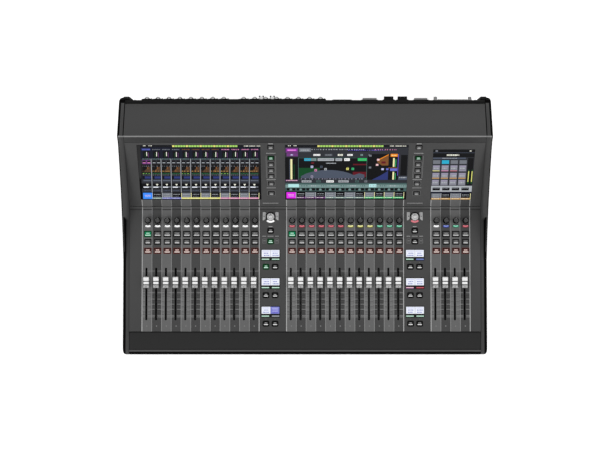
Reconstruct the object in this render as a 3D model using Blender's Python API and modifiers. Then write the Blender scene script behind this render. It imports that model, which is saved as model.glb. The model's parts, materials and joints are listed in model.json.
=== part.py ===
"""Digital mixing console: a wedge-shaped desk with three sloping displays, three fader banks and a rear socket panel.

World axes: +X to the right of the person at the desk, +Y to the rear, +Z up.
The origin is the centre of the footprint, on the surface that the console stands on. Lengths are in metres.
"""

import math

import bmesh
import bpy
from mathutils import Euler, Matrix, Vector

# --- Channel layout, which sets the width -----------------------------------------------------
CHANNEL_PITCH = 0.0212
BANK_CHANNELS = (12, 12, 4)
COLUMN_WIDTH = 0.0595  # the key column to the right of each big bank
LEFT_MARGIN = 0.0280
RIGHT_MARGIN = 0.0234
CHEEK_THICKNESS = 0.0132

# --- Side profile, from the front edge to the rear ---------------------------------------------
FRONT_HEIGHT = 0.1101
FOOT_HEIGHT = 0.008
TRAY_TOP = 0.062  # the split line between the black tray and the grey casing
TRAY_SETBACK = 0.0165  # the front wall leans in from the front edge to the tray
NOSE_RADIUS = 0.0095
ARMREST_LENGTH = 0.0394
ARMREST_SLOPE = math.radians(3.0)
FADER_SLOPE = math.radians(6.5)
DISPLAY_SLOPE = math.radians(55.8)
LIP_LENGTH = 0.0238
LIP_SLOPE = math.radians(67.1)
ROOF_LENGTH = 0.0850
ROOF_SLOPE = math.radians(-22.0)
LEDGE_DEPTH = 0.0070
HOOD_FLANGE = 0.004
REAR_SLANT = math.radians(9.0)
BUMPER_PROUD = 0.0060
CHEEK_CURVE_FOOT = 0.1200  # how far in front of the display panel the cheek's curve ends
CHEEK_CURVE_RISE = 0.0360  # from the crease up to the point that pulls the cheek's curve
CHEEK_STEP = 0.0305  # the full-width part of the cheek's curve ends here, in front of the display panel
CHEEK_FIN = 0.0055  # only this outer thickness of the cheek stands up in front of the step

# --- Rows on the fader panel, measured towards the front from its rear edge --------------------
KNOB_ROW = 0.0310
FIRST_KEY_ROW = KNOB_ROW + 0.0290
SECOND_KEY_ROW = FIRST_KEY_ROW + 0.0170
THIRD_KEY_ROW = SECOND_KEY_ROW + 0.0195
SLOT_START = THIRD_KEY_ROW + 0.0375
FRONT_BORDER = 0.0254
FADER_TRAVEL = 0.100
REST_BELOW_TOP = 0.025  # the faders rest at 0 dB, a quarter of the way down

# --- Faders ------------------------------------------------------------------------------------
FADER_OFFSET = 0.0093  # from a channel strip's left edge to its slot
SLOT_WIDTH = 0.0034
STEM_THICKNESS = 0.0012
STEM_LENGTH = 0.0080
STEM_DEPTH = 0.020
END_CLEARANCE = 0.00245
CAP_WIDTH = 0.0130
CAP_LENGTH = 0.0240
CAP_BASE = 0.0030
CAP_HEIGHT = 0.0110
FADER_UNIT_WIDTH = 0.0120
FADER_UNIT_DEPTH = 0.0500
FADER_UNIT_BORDER = 0.0060  # the plate's edge beyond the units, and the units' length beyond the slots
FRAME_DROP = 0.0040  # from the panel's rear face down to the carrier plate
STEM_CLEARANCE = 0.0100  # below the stem's foot, in the unit's slot

# --- Keys and knobs ----------------------------------------------------------------------------
KEY_OFFSET = 0.0121  # from a channel strip's left edge to its keys and knob
KEY_WIDTH = 0.0145
KEY_LENGTH = 0.0105
SMALL_KEY_WIDTH = 0.0125
KEY_PROUD = 0.0020
KEY_TRAVEL = 0.0008
KEY_CLEARANCE = 0.0005
MAT_THICKNESS = 0.0015
MAT_BORDER = 0.0020
ENCODER_RADIUS = 0.0068
ENCODER_HEIGHT = 0.0110
ENCODER_SHAFT_RADIUS = 0.0030
KNOB_GAP = 0.0010  # under the knobs, and between the panel and the knob board
SELECT_RADIUS = 0.0090
SELECT_HEIGHT = 0.0130
SELECT_ROW = 0.0225
SELECT_SHAFT_RADIUS = 0.0030
SELECT_SHAFT_DEPTH = 0.012
BOARD_NOTCH = 0.0060  # between a select knob's shaft and the edge of the knob board
COLUMN_CENTRE = 0.0247  # from a column's left edge to its keys and knob
COLUMN_KEY_ROWS = (0.0529, 0.0762)
BANK_DISPLAY_ROW = 0.1022
BANK_DISPLAY_PITCH = 0.0618
BANK_KEY_BELOW_DISPLAY = 0.0290
BANK_KEY_SPREAD = 0.0099
BANK_KEY_ROWS = 3

# --- Displays ----------------------------------------------------------------------------------
DISPLAY_LOW_BORDER = 0.0215
DISPLAY_HIGH_BORDER = 0.0067
DISPLAY_HEIGHT = 0.1630
DISPLAY_OVERHANG = 0.0067  # how much wider a big display is than its bank of strips
SMALL_DISPLAY_OVERHANG = 0.0030
SMALL_DISPLAY_HEIGHT = 0.1500
DISPLAY_MARGIN = 0.0020
DISPLAY_FRAME = 0.0050
DISPLAY_DEPTH = 0.0090
FRAME_GAP = 0.0002  # between the display panel's rear face and the displays' frames, beyond GAP
SIDE_KEY_OFFSET = 0.0270  # from a column's left edge to the keys beside the displays
SIDE_KEY_ROWS = (0.35, 1.99, 3.02, 3.93, 4.89, 6.09, 7.66)  # in steps down the display
SIDE_KEY_STEPS = 8.7

# --- Sheet metal, clearances and rear ----------------------------------------------------------
PANEL_THICKNESS = 0.0025
SHEET_THICKNESS = 0.0020
TRAY_WALL = 0.0020
TRAY_CHAMFER = 0.025
GAP = 0.0004
ARMREST_THICKNESS = 0.010
SOCKET_PITCH = 0.0233
SOCKET_GROUP_GAP = 0.0193
SOCKET_FIRST_X = -0.3360
SOCKETS_PER_GROUP = 8
SOCKET_ROW_DROP = 0.0200  # from the ledge down to the first row of sockets
OUTPUT_ROW_DROP = 0.0700
SOCKET_BLOCK_HEIGHT = 0.0280
SOCKET_BLOCK_DEPTH = 0.0200
SOCKET_BLOCK_PROUD = 0.0025
SOCKET_WELL = 0.0150
SOCKET_WELL_DEPTH = 0.0140
INLET_X = 0.3000
INLET_SPREAD = 0.0280
INLET_DROP = 0.1560
INLET_WELL_WIDTH = 0.0270
INLET_WELL_HEIGHT = 0.0200
INLET_BLOCK_HEIGHT = 0.0320
INLET_BORDER = 0.0050
BUMPER_WIDTH = 0.0140
BUMPER_OUTSET = 0.0020  # from the cheek's inner face to the bumper's centre, inwards
BUMPER_DROP = 0.0060  # from the ledge down to the bumper's upper end
BUMPER_CHAMFER = 0.0040
BUMPER_SWELL = 0.0030
BUMPER_HEEL = 0.0300  # the upright stretch at the bumper's lower end
RUNNER_WIDTH = 0.030
RUNNER_INSET = 0.060
BOARD_THICKNESS = 0.0016
BOARD_STANDOFF = 0.0120
SUPPLY_HEIGHT = 0.0450
SUPPLY_CLEARANCE = 0.0200
SUPPLY_FINS = 8
FIN_HEIGHT = 0.0080

# --- Worked out from the sizes above -----------------------------------------------------------
CHANNELS = sum(BANK_CHANNELS)
SLOT_LENGTH = FADER_TRAVEL + STEM_LENGTH + 2 * END_CLEARANCE
FADER_PANEL_LENGTH = SLOT_START + SLOT_LENGTH + FRONT_BORDER
DISPLAY_PANEL_LENGTH = DISPLAY_LOW_BORDER + DISPLAY_HEIGHT + DISPLAY_HIGH_BORDER
INNER_WIDTH = LEFT_MARGIN + RIGHT_MARGIN + CHANNELS * CHANNEL_PITCH + 2 * COLUMN_WIDTH
WIDTH = INNER_WIDTH + 2 * CHEEK_THICKNESS
PANEL_WIDTH = INNER_WIDTH - 2 * GAP
REST_ROW = SLOT_START + END_CLEARANCE + STEM_LENGTH / 2 + REST_BELOW_TOP
MAT_TOP = -PANEL_THICKNESS - KEY_TRAVEL


def step(point, length, slope):
    return point + Vector((length * math.cos(slope), length * math.sin(slope)))


def bank_starts():
    """The left edge of each bank of channel strips, in world X."""
    x = -INNER_WIDTH / 2 + LEFT_MARGIN
    starts = []
    for count in BANK_CHANNELS:
        starts.append(x)
        x += count * CHANNEL_PITCH + COLUMN_WIDTH
    return starts


def bank_width(bank):
    return BANK_CHANNELS[bank] * CHANNEL_PITCH


def strip_edges():
    """The left edge of every channel strip, in world X."""
    return [
        start + i * CHANNEL_PITCH
        for start, count in zip(bank_starts(), BANK_CHANNELS)
        for i in range(count)
    ]


def column_starts():
    return [bank_starts()[bank] + bank_width(bank) for bank in (0, 1)]


class SideProfile:
    """The console's side view as (Y, Z) corners, with Y measured from the middle of the depth."""

    def __init__(self):
        nose_centre = Vector((NOSE_RADIUS, FRONT_HEIGHT - NOSE_RADIUS))
        self.nose_centre = nose_centre
        self.armrest_front = nose_centre + NOSE_RADIUS * Vector(
            (-math.sin(ARMREST_SLOPE), math.cos(ARMREST_SLOPE))
        )
        self.fader_front = step(self.armrest_front, ARMREST_LENGTH, ARMREST_SLOPE)
        self.crease = step(self.fader_front, FADER_PANEL_LENGTH, FADER_SLOPE)
        self.display_top = step(self.crease, DISPLAY_PANEL_LENGTH, DISPLAY_SLOPE)
        self.ridge = step(self.display_top, LIP_LENGTH, LIP_SLOPE)
        self.roof_rear = step(self.ridge, ROOF_LENGTH, ROOF_SLOPE)
        self.ledge_rear = self.roof_rear + Vector((LEDGE_DEPTH, 0))
        drop = self.ledge_rear.y - TRAY_TOP
        self.rear_foot = Vector((self.ledge_rear.x + drop * math.tan(REAR_SLANT), TRAY_TOP))
        self.depth = self.rear_foot.x + BUMPER_PROUD
        middle = Vector((self.depth / 2, 0))
        for name, value in list(vars(self).items()):
            if isinstance(value, Vector):
                setattr(self, name, value - middle)
        self.front = -self.depth / 2
        self.tray_front = self.front + TRAY_SETBACK

    def nose_arc(self, steps=5):
        """Points round the front edge, from its upright face up to the armrest."""
        first, last = math.pi, math.pi / 2 + ARMREST_SLOPE
        angles = [first + (last - first) * i / steps for i in range(steps + 1)]
        return [
            self.nose_centre + NOSE_RADIUS * Vector((math.cos(a), math.sin(a))) for a in angles
        ]

    def cheek_curve(self, steps=8):
        """The cheek's hollow curve from the fader panel up to the displays' top, then its corner at the ridge."""
        foot = step(self.crease, -CHEEK_CURVE_FOOT, FADER_SLOPE)
        pull = self.crease + Vector((0, CHEEK_CURVE_RISE))
        points = []
        for i in range(steps + 1):
            t = i / steps
            points.append(foot * (1 - t) ** 2 + pull * 2 * t * (1 - t) + self.display_top * t * t)
        return [*points, self.ridge]


# --- Blender helpers ---------------------------------------------------------------------------
def clear_scene():
    for obj in list(bpy.data.objects):
        bpy.data.objects.remove(obj)


def new_collection(name):
    collection = bpy.data.collections.new(name)
    bpy.context.scene.collection.children.link(collection)
    return collection


def material(name, colour, roughness, metallic=0.0):
    made = bpy.data.materials.new(name)
    made.use_nodes = True
    shader = made.node_tree.nodes["Principled BSDF"]
    shader.inputs["Base Color"].default_value = (*colour, 1)
    shader.inputs["Roughness"].default_value = roughness
    shader.inputs["Metallic"].default_value = metallic
    return made


def plane_empty(name, corner, rotation):
    """An empty whose local XY plane is a panel's outer face, at that (Y, Z) corner."""
    empty = bpy.data.objects.new(name, None)
    empty.location = (0, corner.x, corner.y)
    empty.rotation_euler = rotation
    console.objects.link(empty)
    bpy.context.view_layer.update()
    return empty


def add_object(name, mesh, finish=None, parent=None, location=(0, 0, 0)):
    obj = bpy.data.objects.new(name, mesh)
    console.objects.link(obj)
    obj.location = location
    obj.parent = parent
    if finish and not mesh.materials:
        mesh.materials.append(finish)
    return obj


def add_cutter(name, mesh, parent=None):
    obj = bpy.data.objects.new(name, mesh)
    cutters.objects.link(obj)
    obj.parent = parent
    obj.hide_render = True
    obj.display_type = "WIRE"
    return obj


def box_mesh(name, boxes):
    """A mesh of separate boxes, each given as (size, centre)."""
    bm = bmesh.new()
    for size, centre in boxes:
        place = Matrix.Translation(centre) @ Matrix.Diagonal((*size, 1))
        bmesh.ops.create_cube(bm, size=1, matrix=place)
    mesh = bpy.data.meshes.new(name)
    bm.to_mesh(mesh)
    bm.free()
    return mesh


def evaluated_mesh(obj, name):
    """A plain mesh of the object as it stands, with its loose caps welded and its faces outward."""
    bpy.context.view_layer.update()
    graph = bpy.context.evaluated_depsgraph_get()
    mesh = bpy.data.meshes.new_from_object(obj.evaluated_get(graph))
    mesh.name = name
    bm = bmesh.new()
    bm.from_mesh(mesh)
    bmesh.ops.remove_doubles(bm, verts=bm.verts, dist=1e-6)
    bmesh.ops.recalc_face_normals(bm, faces=bm.faces)
    bm.to_mesh(mesh)
    bm.free()
    return mesh


def outline_mesh(name, points, thickness):
    """A flat outline in local XY, extruded to that thickness about Z = 0."""
    curve = bpy.data.curves.new(name, "CURVE")
    curve.dimensions = "2D"
    curve.fill_mode = "BOTH"
    curve.extrude = thickness / 2
    spline = curve.splines.new("POLY")
    spline.points.add(len(points) - 1)
    for point, (x, y) in zip(spline.points, points):
        point.co = (x, y, 0, 1)
    spline.use_cyclic_u = True
    obj = bpy.data.objects.new(name, curve)
    console.objects.link(obj)
    mesh = evaluated_mesh(obj, name)
    bpy.data.objects.remove(obj)
    return mesh


def side_mesh(name, points, x_from, x_to):
    """An outline in (Y, Z), extruded in X from x_from to x_to, in world axes."""
    mesh = outline_mesh(name, points, x_to - x_from)
    turn = Euler((math.pi / 2, 0, math.pi / 2)).to_matrix().to_4x4()
    mesh.transform(Matrix.Translation(((x_from + x_to) / 2, 0, 0)) @ turn)
    return mesh


def side_outline(name, points, x_from, x_to, finish):
    return add_object(name, side_mesh(name, points, x_from, x_to), finish)


def bent_sheet(points, thickness):
    """The closed outline of a sheet whose outer face follows the points, thickened to their left."""
    inner = []
    for i, point in enumerate(points):
        before = (point - points[i - 1]).normalized() if i else None
        after = (points[i + 1] - point).normalized() if i + 1 < len(points) else None
        normals = [Vector((-d.y, d.x)) for d in (before, after) if d]
        mean = sum(normals, Vector((0, 0))).normalized()
        inner.append(point + mean * thickness / mean.dot(normals[0]))
    return [*points, *reversed(inner)]


def turned_mesh(name, profile, steps):
    """A turned shape about local Z. The profile of (radius, height) runs from the top down its outer side."""
    mesh = bpy.data.meshes.new(name)
    verts = [(r, 0, z) for r, z in profile]
    mesh.from_pydata(verts, [(i, i + 1) for i in range(len(verts) - 1)], [])
    obj = bpy.data.objects.new(name, mesh)
    console.objects.link(obj)
    screw = obj.modifiers.new("Turn", "SCREW")
    screw.steps = steps
    screw.render_steps = steps
    screw.use_merge_vertices = True
    screw.merge_threshold = 1e-5
    turned = evaluated_mesh(obj, name)
    bpy.data.objects.remove(obj)
    return turned


def copies_mesh(name, mesh, places):
    """One mesh that holds a copy of another at each place."""
    bm = bmesh.new()
    for place in places:
        copy = mesh.copy()
        copy.transform(Matrix.Translation(place))
        bm.from_mesh(copy)
        bpy.data.meshes.remove(copy)
    made = bpy.data.meshes.new(name)
    bm.to_mesh(made)
    bm.free()
    return made


def boolean(obj, other, operation):
    modifier = obj.modifiers.new(operation.title(), "BOOLEAN")
    modifier.operation = operation
    modifier.object = other
    modifier.solver = "EXACT"


def cut_boxes(obj, boxes, parent=None):
    boolean(obj, add_cutter(obj.name + "_cutter", box_mesh("cutter", boxes), parent), "DIFFERENCE")


def join_mesh(obj, mesh, parent=None):
    boolean(obj, add_cutter(obj.name + "_added", mesh, parent), "UNION")


# --- Casing ------------------------------------------------------------------------------------
def make_tray():
    """The black base: floor, four low walls and chamfered lower edges at the sides."""
    half, chamfer, low = WIDTH / 2, TRAY_CHAMFER, FOOT_HEIGHT

    def cross_section(inset, top):
        return [
            (-half + inset, top),
            (-half + inset, low + chamfer),
            (-half + inset + chamfer, low + inset),
            (half - inset - chamfer, low + inset),
            (half - inset, low + chamfer),
            (half - inset, top),
        ]

    length = profile.rear_foot.x - profile.tray_front
    middle = (profile.rear_foot.x + profile.tray_front) / 2
    upright = (math.pi / 2, 0, 0)
    tray = add_object(
        "bottom_tray", outline_mesh("tray", cross_section(0, TRAY_TOP), length), black_metal
    )
    inside = outline_mesh(
        "tray_inside", cross_section(TRAY_WALL, TRAY_TOP + chamfer), length - 2 * TRAY_WALL
    )
    cutter = add_cutter("tray_cutter", inside)
    for obj in (tray, cutter):
        obj.location = (0, middle, 0)
        obj.rotation_euler = upright
    boolean(tray, cutter, "DIFFERENCE")


def make_cheeks():
    """The solid side pieces. In front of the displays only a thin outer fin stands above the fader panel."""
    low = TRAY_TOP + GAP
    outline = [
        Vector((profile.tray_front, low)),
        *profile.nose_arc(),
        profile.fader_front,
        *profile.cheek_curve(),
        profile.roof_rear,
        profile.ledge_rear,
        Vector((profile.rear_foot.x, low)),
    ]
    outer = WIDTH / 2
    inner = outer - CHEEK_THICKNESS
    notch_end = step(profile.crease, -CHEEK_STEP, FADER_SLOPE)
    notch = [
        profile.fader_front,
        notch_end,
        notch_end + Vector((0, DISPLAY_PANEL_LENGTH)),
        profile.fader_front + Vector((0, DISPLAY_PANEL_LENGTH)),
    ]
    for name, side in (("left_cheek", -1), ("right_cheek", 1)):
        cheek = side_outline(name, outline, *sorted((side * inner, side * outer)), grey_casing)
        cut_to = sorted((side * (inner - CHEEK_FIN), side * (outer - CHEEK_FIN)))
        boolean(cheek, add_cutter(name + "_notch", side_mesh("notch", notch, *cut_to)), "DIFFERENCE")


def make_hood():
    """The bent sheet over the displays: an upright lip, a roof that falls to the rear and a flange."""
    lip_foot = step(profile.display_top, GAP, LIP_SLOPE)
    flange = profile.roof_rear - Vector((0, HOOD_FLANGE))
    points = [lip_foot, profile.ridge, profile.roof_rear, flange]
    outline = bent_sheet(list(reversed(points)), SHEET_THICKNESS)
    side_outline("hood", outline, -PANEL_WIDTH / 2, PANEL_WIDTH / 2, grey_casing)


def make_rear_panel():
    """The slanted socket panel, with the narrow black ledge that shows behind the hood."""
    ledge_front = profile.roof_rear + Vector((GAP, 0))
    foot = profile.rear_foot + Vector((0, GAP))
    points = [ledge_front, profile.ledge_rear, foot]
    outline = bent_sheet(list(reversed(points)), SHEET_THICKNESS)
    panel = side_outline("rear_panel", outline, -PANEL_WIDTH / 2, PANEL_WIDTH / 2, black_metal)
    holes = [
        ((length + 2 * GAP, height + 2 * GAP, SOCKET_BLOCK_DEPTH), (-x, y, 0))
        for length, height, x, y in socket_blocks().values()
    ]
    cut_boxes(panel, holes, rear_plane)


def make_front_rail():
    """The front wall with its solid rounded edge, and the shelf that carries the armrest."""
    back = step(profile.fader_front, -GAP, ARMREST_SLOPE)
    drop = Vector((0, -ARMREST_THICKNESS - GAP))
    sheet = Vector((0, -SHEET_THICKNESS))
    low = Vector((profile.tray_front, TRAY_TOP + GAP))
    low_inner = low + Vector((SHEET_THICKNESS, 0))
    shelf_front = profile.armrest_front + drop
    high_inner = Vector((low_inner.x, shelf_front.y - SHEET_THICKNESS))
    nose = list(reversed(profile.nose_arc()))
    outline = [back + drop, shelf_front, *nose, low, low_inner, high_inner, back + drop + sheet]
    side_outline("front_rail", outline, -PANEL_WIDTH / 2, PANEL_WIDTH / 2, grey_casing)


def make_armrest():
    front = step(profile.armrest_front, GAP, ARMREST_SLOPE)
    back = step(profile.fader_front, -GAP, ARMREST_SLOPE)
    drop = Vector((0, -ARMREST_THICKNESS))
    outline = [front + drop, back + drop, back, front]
    side_outline("armrest", outline, -PANEL_WIDTH / 2, PANEL_WIDTH / 2, soft_black)


def make_runners_and_bumpers():
    """Rubber runners under the tray, and rubber strips that the console can be stood up on."""
    tray_middle = (profile.rear_foot.x + profile.tray_front) / 2
    length = profile.rear_foot.x - profile.tray_front - 2 * RUNNER_INSET
    runner_x = WIDTH / 2 - RUNNER_INSET
    size = (RUNNER_WIDTH, length, FOOT_HEIGHT - GAP)
    runner = box_mesh("runner", [(size, (0, 0, 0))])
    for name, side in (("left_foot_runner", -1), ("right_foot_runner", 1)):
        place = (side * runner_x, tray_middle, size[2] / 2)
        add_object(name, runner, rubber, location=place)

    bumper_x = INNER_WIDTH / 2 - BUMPER_OUTSET
    face = [profile.ledge_rear, profile.rear_foot]
    down = (face[1] - face[0]).normalized()
    out = Vector((-down.y, down.x))
    top = face[0] + down * BUMPER_DROP
    bottom = Vector((profile.rear_foot.x, TRAY_TOP + GAP))
    outer_bottom = Vector((profile.rear_foot.x + BUMPER_PROUD, TRAY_TOP + GAP))
    outline = [
        top + out * GAP,
        bottom + out * GAP,
        outer_bottom,
        outer_bottom + Vector((0, BUMPER_HEEL)),
        top + down * (BUMPER_CHAMFER + BUMPER_DROP) + out * (BUMPER_PROUD + BUMPER_SWELL),
        top + out * BUMPER_PROUD,
    ]
    for name, side in (("left_rear_bumper", -1), ("right_rear_bumper", 1)):
        x = side * bumper_x
        side_outline(name, outline, x - BUMPER_WIDTH / 2, x + BUMPER_WIDTH / 2, rubber)


# --- Display panel -----------------------------------------------------------------------------
def display_layout():
    """Each display's name, centre in X, lower edge, width and height, on the display plane."""
    starts = bank_starts()
    layout = []
    for bank, name in enumerate(("left_display", "centre_display")):
        width = bank_width(bank) + DISPLAY_OVERHANG
        centre = starts[bank] + bank_width(bank) / 2 + DISPLAY_OVERHANG / 2 - DISPLAY_MARGIN
        layout.append((name, centre, DISPLAY_LOW_BORDER, width, DISPLAY_HEIGHT))
    width = bank_width(2) + SMALL_DISPLAY_OVERHANG
    layout.append(
        (
            "right_display",
            starts[2] + bank_width(2) / 2,
            DISPLAY_LOW_BORDER,
            width,
            SMALL_DISPLAY_HEIGHT,
        )
    )
    return layout


def side_key_places():
    """Per column, the places of the keys beside the displays, on the display plane."""
    top = DISPLAY_LOW_BORDER + DISPLAY_HEIGHT
    pitch = DISPLAY_HEIGHT / SIDE_KEY_STEPS
    return [
        [(start + SIDE_KEY_OFFSET, top - row * pitch) for row in SIDE_KEY_ROWS]
        for start in column_starts()
    ]


def make_display_panel():
    length = DISPLAY_PANEL_LENGTH - 2 * GAP
    size = (PANEL_WIDTH, length, PANEL_THICKNESS)
    centre = (0, DISPLAY_PANEL_LENGTH / 2, -PANEL_THICKNESS / 2)
    panel = add_object(
        "display_panel", box_mesh("display_panel", [(size, centre)]), grey_casing, display_plane
    )
    through = 4 * PANEL_THICKNESS
    holes = [
        ((width + 2 * GAP, height + 2 * GAP, through), (x, low + height / 2, 0))
        for _, x, low, width, height in display_layout()
    ]
    for places in side_key_places():
        holes += key_holes(places, SMALL_KEY_WIDTH)
    cut_boxes(panel, holes, display_plane)


def make_displays():
    """Each display is a glass front in the panel's opening, on a wider frame behind the panel."""
    for name, x, low, width, height in display_layout():
        middle = low + height / 2
        front = DISPLAY_DEPTH - GAP
        glass = ((width, height, front), (x, middle, -GAP - front / 2))
        behind = DISPLAY_DEPTH - PANEL_THICKNESS - GAP
        frame_size = (width + 2 * DISPLAY_FRAME, height + 2 * DISPLAY_FRAME, behind)
        frame_centre = (x, middle, -PANEL_THICKNESS - GAP - behind / 2 - FRAME_GAP)
        obj = add_object(name, box_mesh(name, [glass]), glass_black, display_plane)
        join_mesh(obj, box_mesh(name, [(frame_size, frame_centre)]), display_plane)


# --- Keys --------------------------------------------------------------------------------------
def key_holes(places, width):
    """Openings through a panel for keys at these places."""
    size = (width + 2 * KEY_CLEARANCE, KEY_LENGTH + 2 * KEY_CLEARANCE, 4 * PANEL_THICKNESS)
    return [(size, (x, y, 0)) for x, y in places]


def make_key_mat(name, places, width, parent, finish):
    """Keys that stand up through a panel from the silicone mat that joins them."""
    xs = [x for x, _ in places]
    ys = [y for _, y in places]
    reach_x, reach_y = width / 2 + MAT_BORDER, KEY_LENGTH / 2 + MAT_BORDER
    mat_size = (max(xs) - min(xs) + 2 * reach_x, max(ys) - min(ys) + 2 * reach_y, MAT_THICKNESS)
    mat_centre = ((max(xs) + min(xs)) / 2, (max(ys) + min(ys)) / 2, MAT_TOP - MAT_THICKNESS / 2)
    low = MAT_TOP - MAT_THICKNESS / 2
    key_size = (width, KEY_LENGTH, KEY_PROUD - low)
    keys = [(key_size, (x, y, (KEY_PROUD + low) / 2)) for x, y in places]
    mat = add_object(name, box_mesh(name, [(mat_size, mat_centre)]), finish, parent)
    join_mesh(mat, box_mesh(name, keys), parent)


def bank_key_places(bank):
    start = bank_starts()[bank]
    return [
        (start + i * CHANNEL_PITCH + KEY_OFFSET, -row)
        for row in (FIRST_KEY_ROW, SECOND_KEY_ROW, THIRD_KEY_ROW)
        for i in range(BANK_CHANNELS[bank])
    ]


def column_key_places(column):
    """Two keys under the select knob, then a pair under each bank display."""
    centre = column_starts()[column] + COLUMN_CENTRE
    places = [(centre, -row) for row in COLUMN_KEY_ROWS]
    for i in range(BANK_KEY_ROWS):
        row = BANK_DISPLAY_ROW + i * BANK_DISPLAY_PITCH + BANK_KEY_BELOW_DISPLAY
        places += [(centre - BANK_KEY_SPREAD, -row), (centre + BANK_KEY_SPREAD, -row)]
    return places


def make_keys():
    for bank, name in enumerate(("left_bank_keys", "centre_bank_keys", "right_bank_keys")):
        make_key_mat(name, bank_key_places(bank), KEY_WIDTH, fader_plane, key_grey)
    for column, name in enumerate(("left_column_keys", "right_column_keys")):
        make_key_mat(name, column_key_places(column), SMALL_KEY_WIDTH, fader_plane, key_grey)
    for name, places in zip(("left_screen_keys", "right_screen_keys"), side_key_places()):
        make_key_mat(name, places, SMALL_KEY_WIDTH, display_plane, key_grey)


# --- Fader panel -------------------------------------------------------------------------------
def slot_boxes(width, depth, top):
    """One long box for each fader's slot, from height top down by depth."""
    middle = -(SLOT_START + SLOT_LENGTH / 2)
    return [
        ((width, SLOT_LENGTH, depth), (edge + FADER_OFFSET, middle, top - depth / 2))
        for edge in strip_edges()
    ]


def encoder_places():
    return [(edge + KEY_OFFSET, -KNOB_ROW, 0) for edge in strip_edges()]


def select_places():
    return [(start + COLUMN_CENTRE, -SELECT_ROW, 0) for start in column_starts()]


def make_fader_panel():
    length = FADER_PANEL_LENGTH - 2 * GAP
    size = (PANEL_WIDTH, length, PANEL_THICKNESS)
    centre = (0, -FADER_PANEL_LENGTH / 2, -PANEL_THICKNESS / 2)
    panel = add_object(
        "fader_panel", box_mesh("fader_panel", [(size, centre)]), grey_panel, fader_plane
    )
    through = 4 * PANEL_THICKNESS
    holes = slot_boxes(SLOT_WIDTH, through, through / 2)
    for bank in range(len(BANK_CHANNELS)):
        holes += key_holes(bank_key_places(bank), KEY_WIDTH)
    for column in (0, 1):
        holes += key_holes(column_key_places(column), SMALL_KEY_WIDTH)
    cut_boxes(panel, holes, fader_plane)

    hole_radius = ENCODER_SHAFT_RADIUS + 2 * KEY_CLEARANCE
    drill = turned_mesh(
        "drill", [(0, through), (hole_radius, through), (hole_radius, -through), (0, -through)], 6
    )
    drills = copies_mesh("drills", drill, encoder_places() + select_places())
    boolean(panel, add_cutter("fader_panel_drills", drills, fader_plane), "DIFFERENCE")


def make_fader_frame():
    """The carrier plate under the panel, with a slotted fader unit hanging from it for each channel."""
    edges = strip_edges()
    top = -PANEL_THICKNESS - FRAME_DROP
    middle = -(SLOT_START + SLOT_LENGTH / 2)
    unit_length = SLOT_LENGTH + FADER_UNIT_BORDER
    left = edges[0] + FADER_OFFSET - FADER_UNIT_WIDTH
    right = edges[-1] + FADER_OFFSET + FADER_UNIT_WIDTH
    plate_size = (right - left, unit_length + FADER_UNIT_BORDER, SHEET_THICKNESS)
    plate = (plate_size, ((left + right) / 2, middle, top - SHEET_THICKNESS / 2))
    frame = add_object("fader_frame", box_mesh("fader_frame", [plate]), bare_metal, fader_plane)
    unit_top = top - SHEET_THICKNESS / 2
    units = [
        (
            (FADER_UNIT_WIDTH, unit_length, FADER_UNIT_DEPTH),
            (edge + FADER_OFFSET, middle, unit_top - FADER_UNIT_DEPTH / 2),
        )
        for edge in edges
    ]
    join_mesh(frame, box_mesh("fader_units", units), fader_plane)
    slot_depth = STEM_DEPTH + STEM_CLEARANCE
    cut_boxes(frame, slot_boxes(SLOT_WIDTH, slot_depth, top + SHEET_THICKNESS), fader_plane)


def cap_outline():
    """A fader cap seen from the side: two raised ends and a shallow dip for the finger."""
    half, low, high = CAP_LENGTH / 2, CAP_BASE, CAP_BASE + CAP_HEIGHT
    dip = 0.3 * CAP_HEIGHT
    rear = [
        (half, low),
        (half - 0.06 * CAP_LENGTH, high - 0.15 * CAP_HEIGHT),
        (half - 0.16 * CAP_LENGTH, high),
        (0.12 * CAP_LENGTH, high - dip),
    ]
    return rear + [(-y, z) for y, z in reversed(rear)]


def make_faders():
    """A cap on a thin stem for each channel, at 0 dB."""
    cap = side_outline("cap", cap_outline(), -CAP_WIDTH / 2, CAP_WIDTH / 2, white_cap)
    stem_top = CAP_BASE + CAP_HEIGHT / 3
    stem_height = stem_top + STEM_DEPTH
    size = (STEM_THICKNESS, STEM_LENGTH, stem_height)
    stem = box_mesh("stem", [(size, (0, 0, stem_top - stem_height / 2))])
    join_mesh(cap, stem)
    mesh = evaluated_mesh(cap, "fader")
    bpy.data.objects.remove(cap)
    for i, edge in enumerate(strip_edges()):
        name = f"fader_{i + 1:02d}"
        place = (edge + FADER_OFFSET, -REST_ROW, 0)
        add_object(name, mesh, white_cap, fader_plane, place)


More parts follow.
